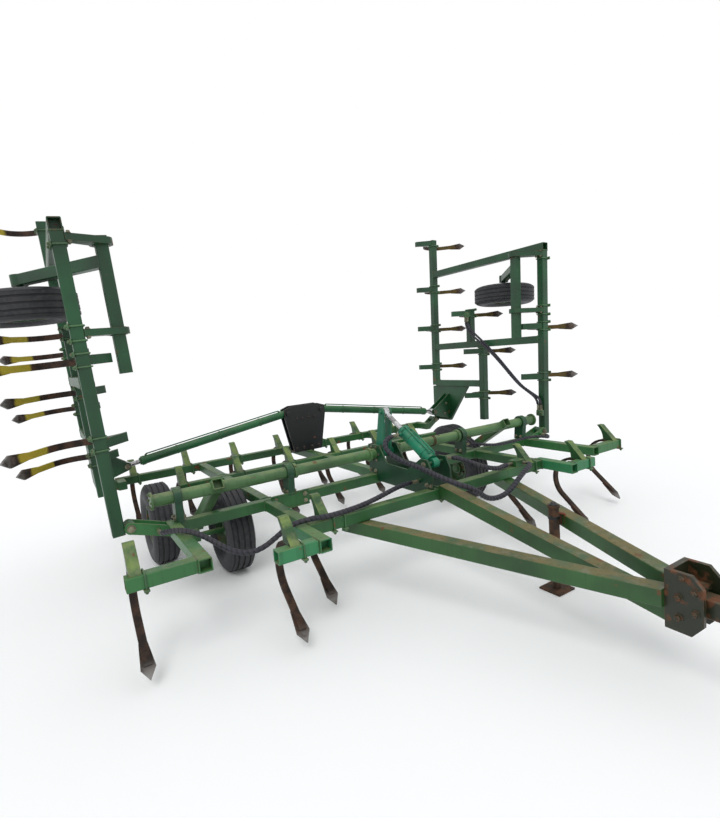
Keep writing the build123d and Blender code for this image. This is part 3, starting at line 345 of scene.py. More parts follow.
bolt_steel = steel("bolt_steel", rgb(84, 80, 66), rgb(140, 138, 116), rough=0.45, glint=0.5)
weld_metal = painted("weld_metal", rgb(44, 86, 50), rgb(100, 108, 74), wear=0.9, rust=0.6)
rod_steel = steel("rod_steel", rgb(150, 150, 150), rgb(205, 206, 208), rough=0.20, glint=0.95, grain=40.0)
hose_rubber = rubber("hose_rubber", rgb(11, 11, 13), dust=0.05)
wrap_plastic = rubber("wrap_plastic", rgb(36, 36, 48), dust=0.25)
red_paint = painted("red_paint", rgb(128, 40, 30), rgb(150, 84, 62), wear=0.8, rust=0.8)

# The finish of each CAD node, by the start of its name
NODE_FINISH = {
    "rail_1": jog_1_paint, "rail_2": jog_2_paint, "rail_3": green_paint, "rail_4": green_paint,
    "longitudinal": green_paint, "tongue": beam_paint, "drawbar": head_steel, "side_plates": plate_paint,
    "shaft_bearings": plate_paint, "rockshaft": shaft_paint, "lift_barrel": teal_paint, "lift_rod": rod_steel,
    "tandem": green_paint, "rim": rim_paint, "fold_mast": dark_paint, "jack": rusty_steel,
    "holders_main": holder_paint, "fold_barrel": link_paint, "fold_rod": rod_steel, "wing": wing_paint,
    "hose": hose_rubber,
}
YELLOW_BANDS = {"left": 0.9, "right": 0.12}

# Each wheel's body, middle and axle, which points away from the beam that carries the wheel
WHEELS = {}
for hand, side in HANDS.items():
    for row, (x, y), out in (("inner", INNER_WHEEL, -side), ("outer", OUTER_WHEEL, side)):
        WHEELS[f"{hand}_{row}"] = (f"wheel_{hand}_{row}", Vector((side * x, y, AXLE_Z)), Vector((out, 0, 0)))
    wing_middle = WINGS[hand].at(*WING_WHEEL, AXLE_Z - HINGE_Z)
    WHEELS[f"wing_{hand}"] = (f"wing_wheel_{hand}", wing_middle, WINGS[hand].way(-1, 0, 0))
for name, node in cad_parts.items():
    if "tyre" in name:
        wheel = name.replace("tyre_", "").replace("_tyre", "")
        body, middle, axle = WHEELS[wheel]
        finish = rubber(f"rubber_{wheel}", rgb(22, 25, 32), 0.22, middle, axle)
    elif name == "shanks_main":
        finish = shank_steel("main_shanks", Vector((0, 0, RAIL_Z)), Vector((0, 0, -1)))
    elif name.endswith("_shanks"):
        hand = name.split("_")[1]
        rail_middle = WINGS[hand].at(0, 0, WING_RAIL_W)
        finish = shank_steel(name, rail_middle, WINGS[hand].way(0, 0, -1), YELLOW_BANDS[hand])
    elif name.endswith("_rim"):
        finish = rim_paint
    else:
        finish = next(value for key, value in NODE_FINISH.items() if name.startswith(key))
    for slot in node.material_slots:
        slot.material = finish


def toward(cross, other, turn):
    """The direction at this angle from cross toward other."""
    return cross * math.cos(turn) + other * math.sin(turn)


def rounded(corners, radius, steps=5):
    """The corners' line with its inner corners rounded."""
    corners = [Vector(corner) for corner in corners]
    line = [corners[0]]
    for before, corner, after in zip(corners, corners[1:], corners[2:]):
        start = corner + (before - corner).normalized() * radius
        end = corner + (after - corner).normalized() * radius
        for step in range(steps + 1):
            t = step / steps
            line.append(start.lerp(corner, t).lerp(corner.lerp(end, t), t))
    return line + [corners[-1]]


def sides_of(line, closed=False):
    """Tangent and two cross directions at each point, which turn as little as they can."""
    count = len(line)
    frames = []
    cross = None
    for i in range(count):
        before = line[i - 1] if i or closed else line[0]
        after = line[(i + 1) % count] if i < count - 1 or closed else line[-1]
        along = (after - before).normalized()
        if cross is None:
            cross = along.orthogonal()
        cross = (cross - along * cross.dot(along)).normalized()
        frames.append((along, cross, along.cross(cross)))
    return frames


SEAT = 0.0003         # gap under a piece that sits on another
WASHER = 0.003


class Piece:
    """Collects the faces of one piece, which may have many parts."""

    def __init__(self):
        self.points = []
        self.faces = []

    def rings(self, rings, closed=False):
        """Joins rings of points into a skin, with ends if it isn't closed."""
        first = len(self.points)
        count = len(rings[0])
        for ring in rings:
            self.points.extend(ring)
        for i in range(len(rings) if closed else len(rings) - 1):
            low, high = first + i * count, first + (i + 1) % len(rings) * count
            for j in range(count):
                k = (j + 1) % count
                self.faces.append((low + j, low + k, high + k, high + j))
        if not closed:
            self.faces.append(tuple(first + j for j in reversed(range(count))))
            self.faces.append(tuple(first + (len(rings) - 1) * count + j for j in range(count)))

    def sweep(self, line, radius, sides=10, closed=False, wobble=0.0):
        """A round bar along the line; wobble makes it uneven, as a weld bead is."""
        turns = [math.tau * j / sides for j in range(sides)]
        rings = []
        for place, (along, cross, other) in zip(line, sides_of(line, closed)):
            size = radius * (1 + wobble * rng.uniform(-1, 1))
            rings.append([place + toward(cross, other, turn) * size for turn in turns])
        self.rings(rings, closed)

    def turned(self, place, axis, profile, sides=20, ring=False):
        """A turned or many-sided part. profile lists radius and distance along the axis, and goes round the
        whole section of a ring, back to the bore."""
        axis = axis.normalized()
        cross = axis.orthogonal().normalized()
        other = axis.cross(cross)
        turns = [math.tau * j / sides for j in range(sides)]
        rings = []
        for radius, along in profile:
            rings.append([place + axis * along + toward(cross, other, turn) * radius for turn in turns])
        self.rings(rings, ring)

    def bolt(self, place, axis, across=0.024, shank=0.0):
        """A hex head on its washer, with a threaded end if shank isn't 0."""
        size = across / 2
        self.turned(place, axis, [(size * 1.55, 0), (size * 1.55, 0.0026), (size * 1.5, WASHER)], 18)
        wide, top = size * 1.15, WASHER + size * 1.15
        self.turned(place, axis, [(wide, WASHER), (wide, WASHER + size * 0.95), (size * 0.92, top)], 6)
        if shank:
            rod, tip = size * 0.58, WASHER + size + shank
            self.turned(place, axis, [(rod, 0.004), (rod, tip), (size * 0.45, tip + 0.002)], 12)

    def block(self, place, middle, size, corner=0.003):
        """A plate or block in a place's frame, with its long edges cut."""
        x, y, z = (value / 2 for value in size)
        outline = [(x - corner, -y), (x, -y + corner), (x, y - corner), (x - corner, y),
                   (-x + corner, y), (-x, y - corner), (-x, -y + corner), (-x + corner, -y)]
        end_share = 1 - corner / max(x, y)
        mx, my, mz = middle
        rings = []
        for level, share in ((-z, end_share), (-z + corner, 1), (z - corner, 1), (z, end_share)):
            rings.append([place.at(mx + a * share, my + b * share, mz + level) for a, b in outline])
        self.rings(rings)

    def bead(self, place, middle, flat, radius=0.0055, steps=9):
        """A weld bead round a square tube of the frame; flat is the axis of the tube, 0 to 2."""
        a, b = [axis for axis in range(3) if axis != flat]
        line = []
        corners = [(-1, -1), (1, -1), (1, 1), (-1, 1)]
        for (s, t), (u, v) in zip(corners, corners[1:] + corners[:1]):
            for step in range(steps):
                point = list(middle)
                point[a] += HALF * (s + (u - s) * step / steps)
                point[b] += HALF * (t + (v - t) * step / steps)
                line.append(place.at(*point))
        self.sweep(line, radius, 6, True, 0.28)

    def finish(self, name, material, body, slot, smooth=38):
        mesh = bpy.data.meshes.new(name)
        mesh.from_pydata([tuple(point) for point in self.points], [], self.faces)
        mesh.validate()
        mesh.update()
        mesh.shade_smooth()
        mesh.set_sharp_from_angle(angle=math.radians(smooth))
        piece = bpy.data.objects.new(name, mesh)
        bpy.context.scene.collection.objects.link(piece)
        mesh.materials.append(material)
        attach(piece, body)
        return piece


# Hoses, as diameter, length, radius over the wrap and route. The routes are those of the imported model's
# source, but hose_left lies a few millimetres higher over rail 1, to leave room for its wrap
HOSES = {
    "hose_left": (0.022, 2.503, 0.0200, [
        (-.138, -.215, .775), (-.300, -.215, .778), (-.480, -.262, .765), (-.690, -.322, .749),
        (-.900, -.368, .746), (-1.100, -.382, .747), (-1.270, -.374, .764), (-1.390, -.322, .735),
        (-1.480, -.280, .660), (-1.590, -.268, .603), (-1.705, -.262, .602), (-1.805, -.218, .645),
        (-1.890, -.120, .712), (-1.965, 0, .755), (-2.045, .125, .760), (-2.110, .240, .735),
        (-2.140, .327, .702), (-2.140, .407, .702)]),
    "hose_loop": (0.022, 2.250, 0.0225, [
        (.980, -.3845, .750), (.980, -.4645, .750), (.905, -.530, .752), (.790, -.577, .742),
        (.670, -.612, .708), (.555, -.640, .655), (.440, -.650, .612), (.320, -.645, .603),
        (.210, -.650, .640), (.118, -.668, .712), (.025, -.682, .768), (-.065, -.648, .808),
        (-.128, -.560, .850), (-.155, -.440, .882), (-.170, -.310, .912), (-.205, -.190, .938),
        (-.262, -.080, .985), (-.292, .028, 1.062), (-.215, .0906, 1.138), (-.086, .0906, 1.138)]),
    "hose_base": (0.022, 0.830, 0.0215, [
        (.138, -.265, .925), (.235, -.265, .925), (.330, -.325, .880), (.425, -.392, .826),
        (.535, -.425, .785), (.650, -.405, .762), (.765, -.340, .750), (.885, -.340, .750)]),
    "hose_right": (0.020, 1.311, 0.0165, [
        (1.080, .486, .800), (1.180, .486, .800), (1.300, .440, .768), (1.430, .405, .745),
        (1.580, .395, .735), (1.730, .382, .740), (1.870, .345, .757), (1.990, .295, .762),
        (2.098, .250, .745), (2.185, .265, .722), (2.245, .325, .735), (2.245, .407, .735)]),
}

# Two hoses down the right wing, which are in this scene only, in u, Y and w; their length is measured
WING_HOSES = {
    "hose_wing_a": [
        (1.490, 1.757, -.008), (1.410, 1.757, -.008), (1.300, 1.690, .010), (1.200, 1.550, .026),
        (1.080, 1.370, .030), (.940, 1.200, .028), (.800, 1.050, .022), (.670, .920, .018),
        (.560, .800, .014), (.480, .670, .012), (.410, .560, .004), (.330, .527, -.008),
        (.250, .527, -.008)],
    "hose_wing_b": [
        (1.490, 1.713, -.008), (1.410, 1.713, -.008), (1.300, 1.635, .004), (1.200, 1.490, .014),
        (1.060, 1.310, .016), (.910, 1.140, .012), (.760, .990, .008), (.630, .860, .004),
        (.530, .750, .000), (.460, .620, -.002), (.400, .510, -.006), (.330, .483, -.008),
        (.250, .483, -.008)],
}
for name, route in WING_HOSES.items():
    HOSES[name] = (0.020, None, 0.0150, [WINGS["right"].at(*point) for point in route])


def route_curve(name, route, radius):
    """A NURBS curve whose control points are the route's points."""
    data = bpy.data.curves.new(name, "CURVE")
    data.dimensions = "3D"
    data.resolution_u = 14
    data.bevel_depth = radius
    data.bevel_resolution = 4
    spline = data.splines.new("NURBS")
    spline.points.add(len(route) - 1)
    for point, place in zip(spline.points, route):
        point.co = (*place, 1)
    spline.order_u = 3
    spline.use_endpoint_u = True
    curve = bpy.data.objects.new(name, data)
    bpy.context.scene.collection.objects.link(curve)
    return curve


def centreline(route, spacing):
    """Points along the route's NURBS spline, evenly spaced."""
    guide = route_curve("guide", route, 0.0)
    bpy.context.view_layer.update()
    mesh = bpy.data.meshes.new_from_object(guide)
    raw = [vertex.co.copy() for vertex in mesh.vertices]
    bpy.data.objects.remove(guide)
    line = [raw[0]]
    spare = spacing
    for before, after in zip(raw, raw[1:]):
        run = (after - before).length
        gone = spare
        while gone <= run:
            line.append(before.lerp(after, gone / run))
            gone += spacing
        spare = gone - run
    return line


WRAP_PITCH, WRAP_BAND, WRAP_START = 0.038, 0.0305, 0.085
WRAP_STEPS = 18                                     # points of the line in one turn of the wrap
WRAP_PROUD = 0.0026                                 # how far the wrap stands out of the sleeve
SLEEVE_PAST, SLEEVE_TAPER, SLEEVE_STEP = 6, 9, 3    # in points of the line
HOSE_NUT = [(0.0165, 0.001), (0.0165, 0.019), (0.0145, 0.021)]
HOSE_FERRULE = [(0.0135, 0.021), (0.0150, 0.024), (0.0150, 0.040), (0.0138, 0.042), (0.0150, 0.044),
                (0.0150, 0.058), (0.0118, 0.062)]


def spiral_wrap(line, trim, radius):
    """A flat band wound round the line, but not round as many points as trim at each end."""
    edge = radius - WRAP_PROUD
    section = [(-0.5, edge), (-0.44, radius - 0.0006), (0, radius), (0.44, radius - 0.0006), (0.5, edge)]
    sides = sides_of(line)
    rings = []
    for i in range(trim, len(line) - trim):
        along, cross, other = sides[i]
        out = toward(cross, other, math.tau * i / WRAP_STEPS)
        rings.append([line[i] + along * (share * WRAP_BAND) + out * reach for share, reach in section])
    wrap = Piece()
    wrap.rings(rings)
    return wrap


def sleeve_under(line, trim, bare, radius):
    """The sleeve under the wrap, which narrows at its ends to the hose's bare radius."""
    start, end = trim - SLEEVE_PAST, len(line) - trim + SLEEVE_PAST
    turns = [math.tau * j / 20 for j in range(20)]
    sides = sides_of(line)
    rings = []
    for i in range(start, end, SLEEVE_STEP):
        along, cross, other = sides[i]
        taper = min(1.0, (i - start) / SLEEVE_TAPER, (end - i) / SLEEVE_TAPER)
        size = bare + 0.0004 + (radius + 0.0004 - bare) * taper
        rings.append([line[i] + toward(cross, other, turn) * size for turn in turns])
    sleeve = Piece()
    sleeve.rings(rings)
    return sleeve


def end_fittings(route):
    """A hex nut and a crimped ferrule at each end of a hose."""
    ends = Piece()
    for end, beside in ((route[0], route[1]), (route[-1], route[-2])):
        place = Vector(end)
        inward = Vector(beside) - place
        ends.turned(place, inward, HOSE_NUT, 6)
        ends.turned(place, inward, HOSE_FERRULE, 20)
    return ends


for name, (diameter, length, wrap_radius, route) in HOSES.items():
    in_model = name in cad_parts
    body = "frame" if in_model else "wing_right"
    hose = route_curve(f"{name}_line", route, diameter / 2)
    hose.data.materials.append(hose_rubber)
    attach(hose, body)
    if in_model:
        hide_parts(name)
    spacing = WRAP_PITCH / WRAP_STEPS
    line = centreline(route, spacing)
    trim = int(WRAP_START / spacing)
    sleeve = sleeve_under(line, trim, diameter / 2, wrap_radius - WRAP_PROUD)
    bundle = sleeve.finish(f"{name}_sleeve", hose_rubber, body, "hose", 60)
    spiral = spiral_wrap(line, trim, wrap_radius).finish(f"{name}_wrap", wrap_plastic, body, "hose", 60)
    fittings = end_fittings(route).finish(f"{name}_fittings", bolt_steel, body, "rod")
    if length is None:
        length = len(line) * spacing

# Blocks that the right wing's hoses leave and end in, on its stub rail and its front rail
MANIFOLD = (0.070, 0.086, 0.046)
manifolds = Piece()
for u, y in ((1.525, WING_STUB_Y), (0.215, WING_FRONT_Y)):
    seat_w = WING_RAIL_W + HALF + SEAT
    manifolds.block(WINGS["right"], (u, y, seat_w + MANIFOLD[2] / 2), MANIFOLD, 0.005)
    for step in (-1, 1):
        head = WINGS["right"].at(u, y + step * 0.024, seat_w + MANIFOLD[2])
        manifolds.bolt(head, WINGS["right"].way(0, 0, 1), 0.018)
manifolds.finish("manifolds_wing_right", clamp_paint, "wing_right", "dark_paint")

# U-bolts with their straps beside each tine's holder, and a few more round the rails
CLAMP_ROD, CLAMP_BEND, CLAMP_LEG = 0.0065, 0.014, 0.028
CLAMP_OUT = HOLDER_HALF + 0.012
STRAP = (0.034, RAIL + 0.052, 0.012)
STRAP_GAP = 0.0002
RAIL_1_CLAMPS_X = (-0.970, -0.040)
WING_CLAMPS_U = (1.408, 1.512, 2.068)


def u_bolt(piece, place, x, y, z):
    """A U-bolt over the rail whose middle is at x, y, z, with its strap and nuts under the rail."""
    half = HALF + CLAMP_ROD + 0.0005
    low = z - HALF - CLAMP_LEG
    under = z - HALF - STRAP_GAP
    corners = [(x, y - half, low), (x, y - half, z + half), (x, y + half, z + half), (x, y + half, low)]
    piece.sweep([place.at(*point) for point in rounded(corners, CLAMP_BEND)], CLAMP_ROD)
    piece.block(place, (x, y, under - STRAP[2] / 2), STRAP)
    for step in (-1, 1):
        piece.bolt(place.at(x, y + step * half, under - STRAP[2]), place.way(0, 0, -1), 0.019)


clamps = Piece()
for x, y in MAIN_TINES:
    u_bolt(clamps, MAIN, x + CLAMP_OUT, y, RAIL_Z)
for x in RAIL_1_CLAMPS_X:
    u_bolt(clamps, MAIN, x, RAIL_1_Y, RAIL_Z)
clamps.finish("clamps_main", clamp_paint, "frame", "green_paint")
for hand, wing in WINGS.items():
    clamps = Piece()
    for u, y in WING_TINES:
        for step in (-1, 1):
            if u + step * CLAMP_OUT + CLAMP_ROD < WING_RAIL_END:
                u_bolt(clamps, wing, u + step * CLAMP_OUT, y, WING_RAIL_W)
    for u in WING_CLAMPS_U:
        u_bolt(clamps, wing, u, WING_FRONT_Y, WING_RAIL_W)
    clamps.finish(f"clamps_wing_{hand}", clamp_paint, f"wing_{hand}", "dark_paint")

# Weld beads where tubes meet
beads = Piece()
for x, rails in ((-LONGITUDINAL_X, RAILS_Y), (LONGITUDINAL_X, RAILS_Y), (0.0, RAILS_Y[1:])):
    for front, rear in zip(rails, rails[1:]):
        beads.bead(MAIN, (x, front + HALF, RAIL_Z), 1)
        beads.bead(MAIN, (x, rear - HALF, RAIL_Z), 1)
for side in (-1, 1):
    for jog_x, rail_y, jog in ((JOG_1_X, RAIL_1_Y, JOG_1), (JOG_2_X, RAIL_2_Y, JOG_2)):
        beads.bead(MAIN, (side * (jog_x - HALF), rail_y, RAIL_Z), 0)
        beads.bead(MAIN, (side * (jog_x + HALF), rail_y - jog, RAIL_Z), 0)
    beads.bead(MAIN, (side * (RAIL_4_END - HALF), RAIL_4_Y - HALF, RAIL_Z), 1)
beads.finish("welds_main", weld_metal, "frame", "green_paint")
for hand, wing in WINGS.items():
    beads = Piece()
    for u, front in ((OUTER_BEAM_U, None), (MIDDLE_BEAM_U, WING_FRONT_Y), (INNER_BEAM_U, WING_MIDDLE_Y)):
        if front:
            beads.bead(wing, (u, front + HALF, WING_RAIL_W), 1)
        beads.bead(wing, (u, WING_REAR_Y - HALF, WING_RAIL_W), 1)
    for u, y in ((OUTER_BEAM_U - HALF, WING_FRONT_Y), (MIDDLE_BEAM_U - HALF, WING_MIDDLE_Y),
                 (MIDDLE_BEAM_U + HALF, WING_STUB_Y)):
        beads.bead(wing, (u, y, WING_RAIL_W), 0)
    beads.finish(f"welds_wing_{hand}", weld_metal, f"wing_{hand}", "dark_paint")


def band(inner, outer, width, edge=0.001, start=0.0):
    """Profile of a flat band round a barrel, with its outer edges cut."""
    return [(inner, start), (outer, start + edge), (outer, start + width - edge), (inner, start + width)]


def pin_head(radius, root, edge, top):
    """Profile of a pin's round head, from inside the part to its cut edge and top."""
    return [(radius, root), (radius, edge), (radius - 0.004, top)]


def gland(bore, radius, edge, height):
    """Profile of the nut that closes a barrel round its rod."""
    return [(bore, 0), (radius, 0), (radius, edge), (radius - 0.004, height), (bore, height)]


# Wheels: hub flange, cap with its band, lug bolts and valve, on the side away from the axle's beam
HUB_FLANGE = [(0.0615, 0.0075), (0.112, 0.0075), (0.112, 0.014), (0.106, 0.017), (0.064, 0.019),
              (0.0615, 0.019)]
HUB_CAP = [(0.048, 0.0602), (0.048, 0.068), (0.042, 0.082), (0.030, 0.092), (0.012, 0.097)]
LUGS, LUG_CIRCLE, LUG_SEAT = 6, 0.090, 0.0175
for wheel, (body, middle, out) in WHEELS.items():
    hub = Piece()
    hub.turned(middle, out, HUB_FLANGE, 32, True)
    hub.turned(middle, out, HUB_CAP, 28)
    hub.turned(middle, out, band(0.0625, 0.0665, 0.012, 0.002, 0.048), 28, True)
    hub.finish(f"hub_{wheel}", rim_paint, body, "rim_paint")
    nuts = Piece()
    cross = out.orthogonal().normalized()
    other = out.cross(cross)
    for i in range(LUGS):
        seat = middle + toward(cross, other, math.tau * i / LUGS + 0.3) * LUG_CIRCLE + out * LUG_SEAT
        nuts.bolt(seat, out, 0.024, 0.006)
    spoke = toward(cross, other, 0.8)
    stem = [middle + spoke * reach + out * rise
            for reach, rise in ((0.166, 0.006), (0.166, 0.026), (0.158, 0.046))]
    nuts.sweep(stem, 0.004, 8)
    nuts.finish(f"lugs_{wheel}", bolt_steel, body, "rod")


# How far the faces that fasteners sit on are from the middle of their part
HINGE_FACE, BEARING_FACE, BRACKET_FACE = 0.068, 0.030, 0.025
MAST_FACE, MAST_PIN_FACE, HORN_FACE, HORN_PIN_FACE = 0.063, 0.075, 0.058, 0.074
ANCHOR_PIN_FACE = 0.118
PLATE_BOLT_CIRCLE, FLANGE_BOLT_CIRCLE = 0.073, 0.057


def round_shaft(x, radius, turn):
    """A point round the rockshaft's axis."""
    return Vector((x, SHAFT_Y + radius * math.cos(turn), SHAFT_Z + radius * math.sin(turn)))


# Fasteners on the frame: hinge pins with their cotters, then bolts of the bearings, side plates and flanges,
# and the heads of the pin at the lift cylinder's foot
HINGE_PIN_HEAD = [(0.031, 0), (0.031, 0.005), (0.024, 0.006), (0.022, 0.020), (0.018, 0.023)]
bolts = Piece()
for side in (-1, 1):
    outward = Vector((side, 0, 0))
    for y in (RAIL_2_Y, REAR_HINGE_Y):
        for step in (-1, 1):
            head = Vector((side * HINGE_X, y + step * HINGE_FACE, HINGE_Z))
            bolts.turned(head, Vector((0, step, 0)), HINGE_PIN_HEAD, 24)
            hole = head + Vector((0, step * 0.013, 0))
            cotter = [hole + Vector((-0.030, 0, 0.006)), hole + Vector((0.034, 0, -0.004))]
            bolts.sweep(cotter, 0.003, 8)
    for x in BEARINGS_X:
        for step in (-1, 1):
            # A hose's boss stands where two of the bolts would be
            if (side * x, step) != (BEARINGS_X[0], 1):
                for y in (SHAFT_Y - 0.020, SHAFT_Y + 0.045):
                    seat = Vector((side * x + step * BEARING_FACE, y, RAIL_TOP + 0.032))
                    bolts.bolt(seat, Vector((step, 0, 0)), 0.026)
    for y in (-0.355, -0.300, 0.480, 0.560):
        bolts.bolt(Vector((side * SIDE_PLATE_FACE, y, RAIL_TOP + 0.030)), outward, 0.026)
    for i in range(6):
        bolts.bolt(round_shaft(side * SIDE_PLATE_FACE, PLATE_BOLT_CIRCLE, math.tau * i / 6), outward, 0.018)
    foot = Vector((side * ANCHOR_PIN_FACE, ANCHOR_Y, ANCHOR_Z))
    bolts.turned(foot, outward, pin_head(0.024, -0.01, 0.006, 0.009), 24)
bolts.finish("bolts_main", bolt_steel, "frame", "rod")

# Mast: bolts at its base and its top, and pin heads
mast_bolts = Piece()
for step in (-1, 1):
    face = Vector((0, step, 0))
    for x in (-0.150, -0.055, 0.055, 0.150):
        mast_bolts.bolt(Vector((x, FOLD_Y + step * MAST_FACE, RAIL_TOP + 0.045)), face, 0.028)
        mast_bolts.bolt(Vector((x * 0.8, FOLD_Y + step * MAST_FACE, RAIL_TOP + 0.420)), face, 0.024)
    for side in (-1, 1):
        head = Vector((side * MAST_PIN_X, FOLD_Y + step * MAST_PIN_FACE, MAST_Z))
        mast_bolts.turned(head, face, pin_head(0.030, -0.008, 0.004, 0.008), 24)
mast_bolts.finish("bolts_mast", dark_paint, "frame", "dark_paint")

# Clamp plate on rail 2, left of the middle, with its two lips and four bolts
CLAMP_PLATE_X, CLAMP_PLATE_LENGTH = -1.035, 0.36
CLAMP_PLATE_THICK = 0.010
channel = Piece()
channel.block(MAIN, (CLAMP_PLATE_X, RAIL_2_Y - HALF - CLAMP_PLATE_THICK / 2 - SEAT, RAIL_Z),
              (CLAMP_PLATE_LENGTH, CLAMP_PLATE_THICK, 0.116))
for rise in (0.062, -0.062):
    channel.block(MAIN, (CLAMP_PLATE_X, RAIL_2_Y - 0.052, RAIL_Z + rise),
                  (CLAMP_PLATE_LENGTH, 0.020, CLAMP_PLATE_THICK))
channel.finish("clamp_plate", green_paint, "frame", "green_paint")
channel_bolts = Piece()
for x in (CLAMP_PLATE_X - 0.140, CLAMP_PLATE_X + 0.140):
    for rise in (-0.030, 0.030):
        seat = Vector((x, RAIL_2_Y - HALF - CLAMP_PLATE_THICK - SEAT, RAIL_Z + rise))
        channel_bolts.bolt(seat, Vector((0, -1, 0)), 0.026, 0.008)
channel_bolts.finish("clamp_plate_bolts", bolt_steel, "frame", "rod")

# Rockshaft: collars with their set screws, and the bolts of its end flanges
COLLAR = [(0.0505, -0.014), (0.064, -0.014), (0.066, -0.011), (0.066, 0.011), (0.064, 0.014), (0.0505, 0.014)]
collars = Piece()
for x in (-0.960, -0.170, 0.170, 0.960):
    collars.turned(Vector((x, SHAFT_Y, SHAFT_Z)), Vector((1, 0, 0)), COLLAR, 36, True)
    collars.bolt(Vector((x, SHAFT_Y - 0.045, SHAFT_Z + 0.047)), Vector((0, -0.7, 0.7)), 0.014)
for side in (-1, 1):
    for i in range(6):
        seat = round_shaft(side * SHAFT_END, FLANGE_BOLT_CIRCLE, math.tau * i / 6)
        collars.bolt(seat, Vector((side, 0, 0)), 0.014)
collars.finish("collars", shaft_paint, "rockshaft", "green_paint")

# Wire wound three times round the rockshaft, with its loose end
WIRE, WIRE_REACH, WIRE_STEPS = 0.0032, 0.0535, 28
wire = Piece()
for x, tilt in ((0.610, 0.010), (0.622, -0.006), (0.634, 0.004)):
    turns = [math.tau * i / WIRE_STEPS for i in range(WIRE_STEPS)]
    loop = [round_shaft(x + tilt * math.sin(turn), WIRE_REACH, turn) for turn in turns]
    wire.sweep(loop, WIRE, 8, True)
loose_end = [(0.622, SHAFT_Y - 0.020, SHAFT_Z + 0.050), (0.630, SHAFT_Y - 0.050, SHAFT_Z + 0.075),
             (0.655, SHAFT_Y - 0.085, SHAFT_Z + 0.060)]
wire.sweep(rounded(loose_end, 0.015), WIRE, 8)
wire.finish("wire_clip", rusty_steel, "rockshaft", "rusty_steel")


def oil_pipe(piece, place, x, heights, ends, bend, radius, sides, port):
    """A pipe on a barrel with a port at each end. ends are distances along the barrel, heights are those of
    the pipe's first end, run and last end above its axis, and port is the port's height and its size."""
    low, run, high = heights
    start, end = ends
    corners = [(x, low, start), (x, run, start), (x, run, end), (x, high, end)]
    piece.sweep(rounded([place.at(*corner) for corner in corners], bend), radius, sides)
    seat, size = port
    nut = [(size, 0), (size, size - 0.002), (size - 0.002, size)]
    for along in ends:
        piece.turned(place.at(x, seat, along), place.way(0, 1, 0), nut, 6)


# Lift cylinder: gland nut, two bands and two oil pipes along its top
BARREL = 0.055
LIFT_BAND = band(0.0552, 0.0590, 0.024)
trim = Piece()
along = LIFT.way(0, 0, 1)
trim.turned(LIFT.at(0, 0, 0.4702), along, gland(0.0240, 0.048, 0.016, 0.020), 8, True)
for reach in (0.120, 0.330):
    trim.turned(LIFT.at(0, 0, reach), along, LIFT_BAND, 32, True)
for x, ends in ((-0.020, (0.070, 0.452)), (0.020, (0.052, 0.405))):
    heights = (BARREL - 0.006, BARREL + 0.014, BARREL - 0.006)
    oil_pipe(trim, LIFT, x, heights, ends, 0.012, 0.0065, 12, (BARREL - 0.004, 0.012))
trim.finish("lift_trim", teal_paint, "lift_barrel", "teal_paint")

# Folding cylinders: head band, gland nut, oil pipe and bands; then the wings' pin heads and bolts
FOLD_HEAD = 0.150                     # from the barrel's head to the horn's pin
FOLD_BAND = band(0.0452, 0.0485, 0.020)
for hand, side in HANDS.items():
    wing = WINGS[hand]
    foot = Vector((side * MAST_PIN_X, FOLD_Y, MAST_Z))
    reach = wing.at(HORN_U, FOLD_Y, HORN_W) - foot
    way = reach.normalized()
    above = way.cross(Vector((0, 1, 0)))
    barrel = Place(foot, (0, 1, 0), above if above.z > 0 else -above, way)
    head = reach.length - FOLD_HEAD
    link = Piece()
    link.turned(barrel.at(0, 0, head - 0.042), way, band(0.0452, 0.0500, 0.042, 0.002), 28, True)
    link.turned(barrel.at(0, 0, head + 0.0002), way, gland(0.0262, 0.040, 0.014, 0.017), 8, True)
    oil_pipe(link, barrel, 0, (0.040, 0.062, 0.042), (0.090, head - 0.060), 0.014, 0.0070, 10, (0.043, 0.014))
    for along in (0.35, 0.85, 1.35):
        link.turned(barrel.at(0, 0, along), way, FOLD_BAND, 28, True)
    link.finish(f"fold_trim_{hand}", link_paint, f"fold_barrel_{hand}", "green_paint")
    heads = Piece()
    for step in (-1, 1):
        face = Vector((0, step, 0))
        horn = wing.at(HORN_U, FOLD_Y + step * HORN_PIN_FACE, HORN_W)
        heads.turned(horn, face, pin_head(0.028, -0.006, 0.005, 0.008), 24)
        for u, w in ((0.110, 0.030), (0.260, 0.000)):
            heads.bolt(wing.at(u, FOLD_Y + step * HORN_FACE, w), face, 0.024)
    for u in WING_BRACKETS_U:
        for step in (-1, 1):
            for y in (WING_FRONT_Y - 0.030, WING_FRONT_Y + 0.030):
                heads.bolt(wing.at(u + step * BRACKET_FACE, y, -0.015), wing.way(step, 0, 0), 0.022)
    heads.finish(f"bolts_wing_{hand}", bolt_steel, f"wing_{hand}", "rod")

# Bolts on the cheeks of the drawbar's head, as distance ahead of its rear edge and height above its foot
head_low, head_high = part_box("drawbar_head")
cheek = max(abs(head_low.x), abs(head_high.x))
hitch_bolts = Piece()
for side in (-1, 1):
    for ahead, rise in ((0.070, 0.080), (0.070, 0.190), (0.150, 0.130), (0.150, 0.240), (0.090, 0.300)):
        seat = Vector((side * cheek, head_high.y - ahead, head_low.z + rise))
        hitch_bolts.bolt(seat, Vector((side, 0, 0)), 0.030, 0.006)
hitch_bolts.finish("hitch_bolts", head_steel, "frame", "rusty_steel")

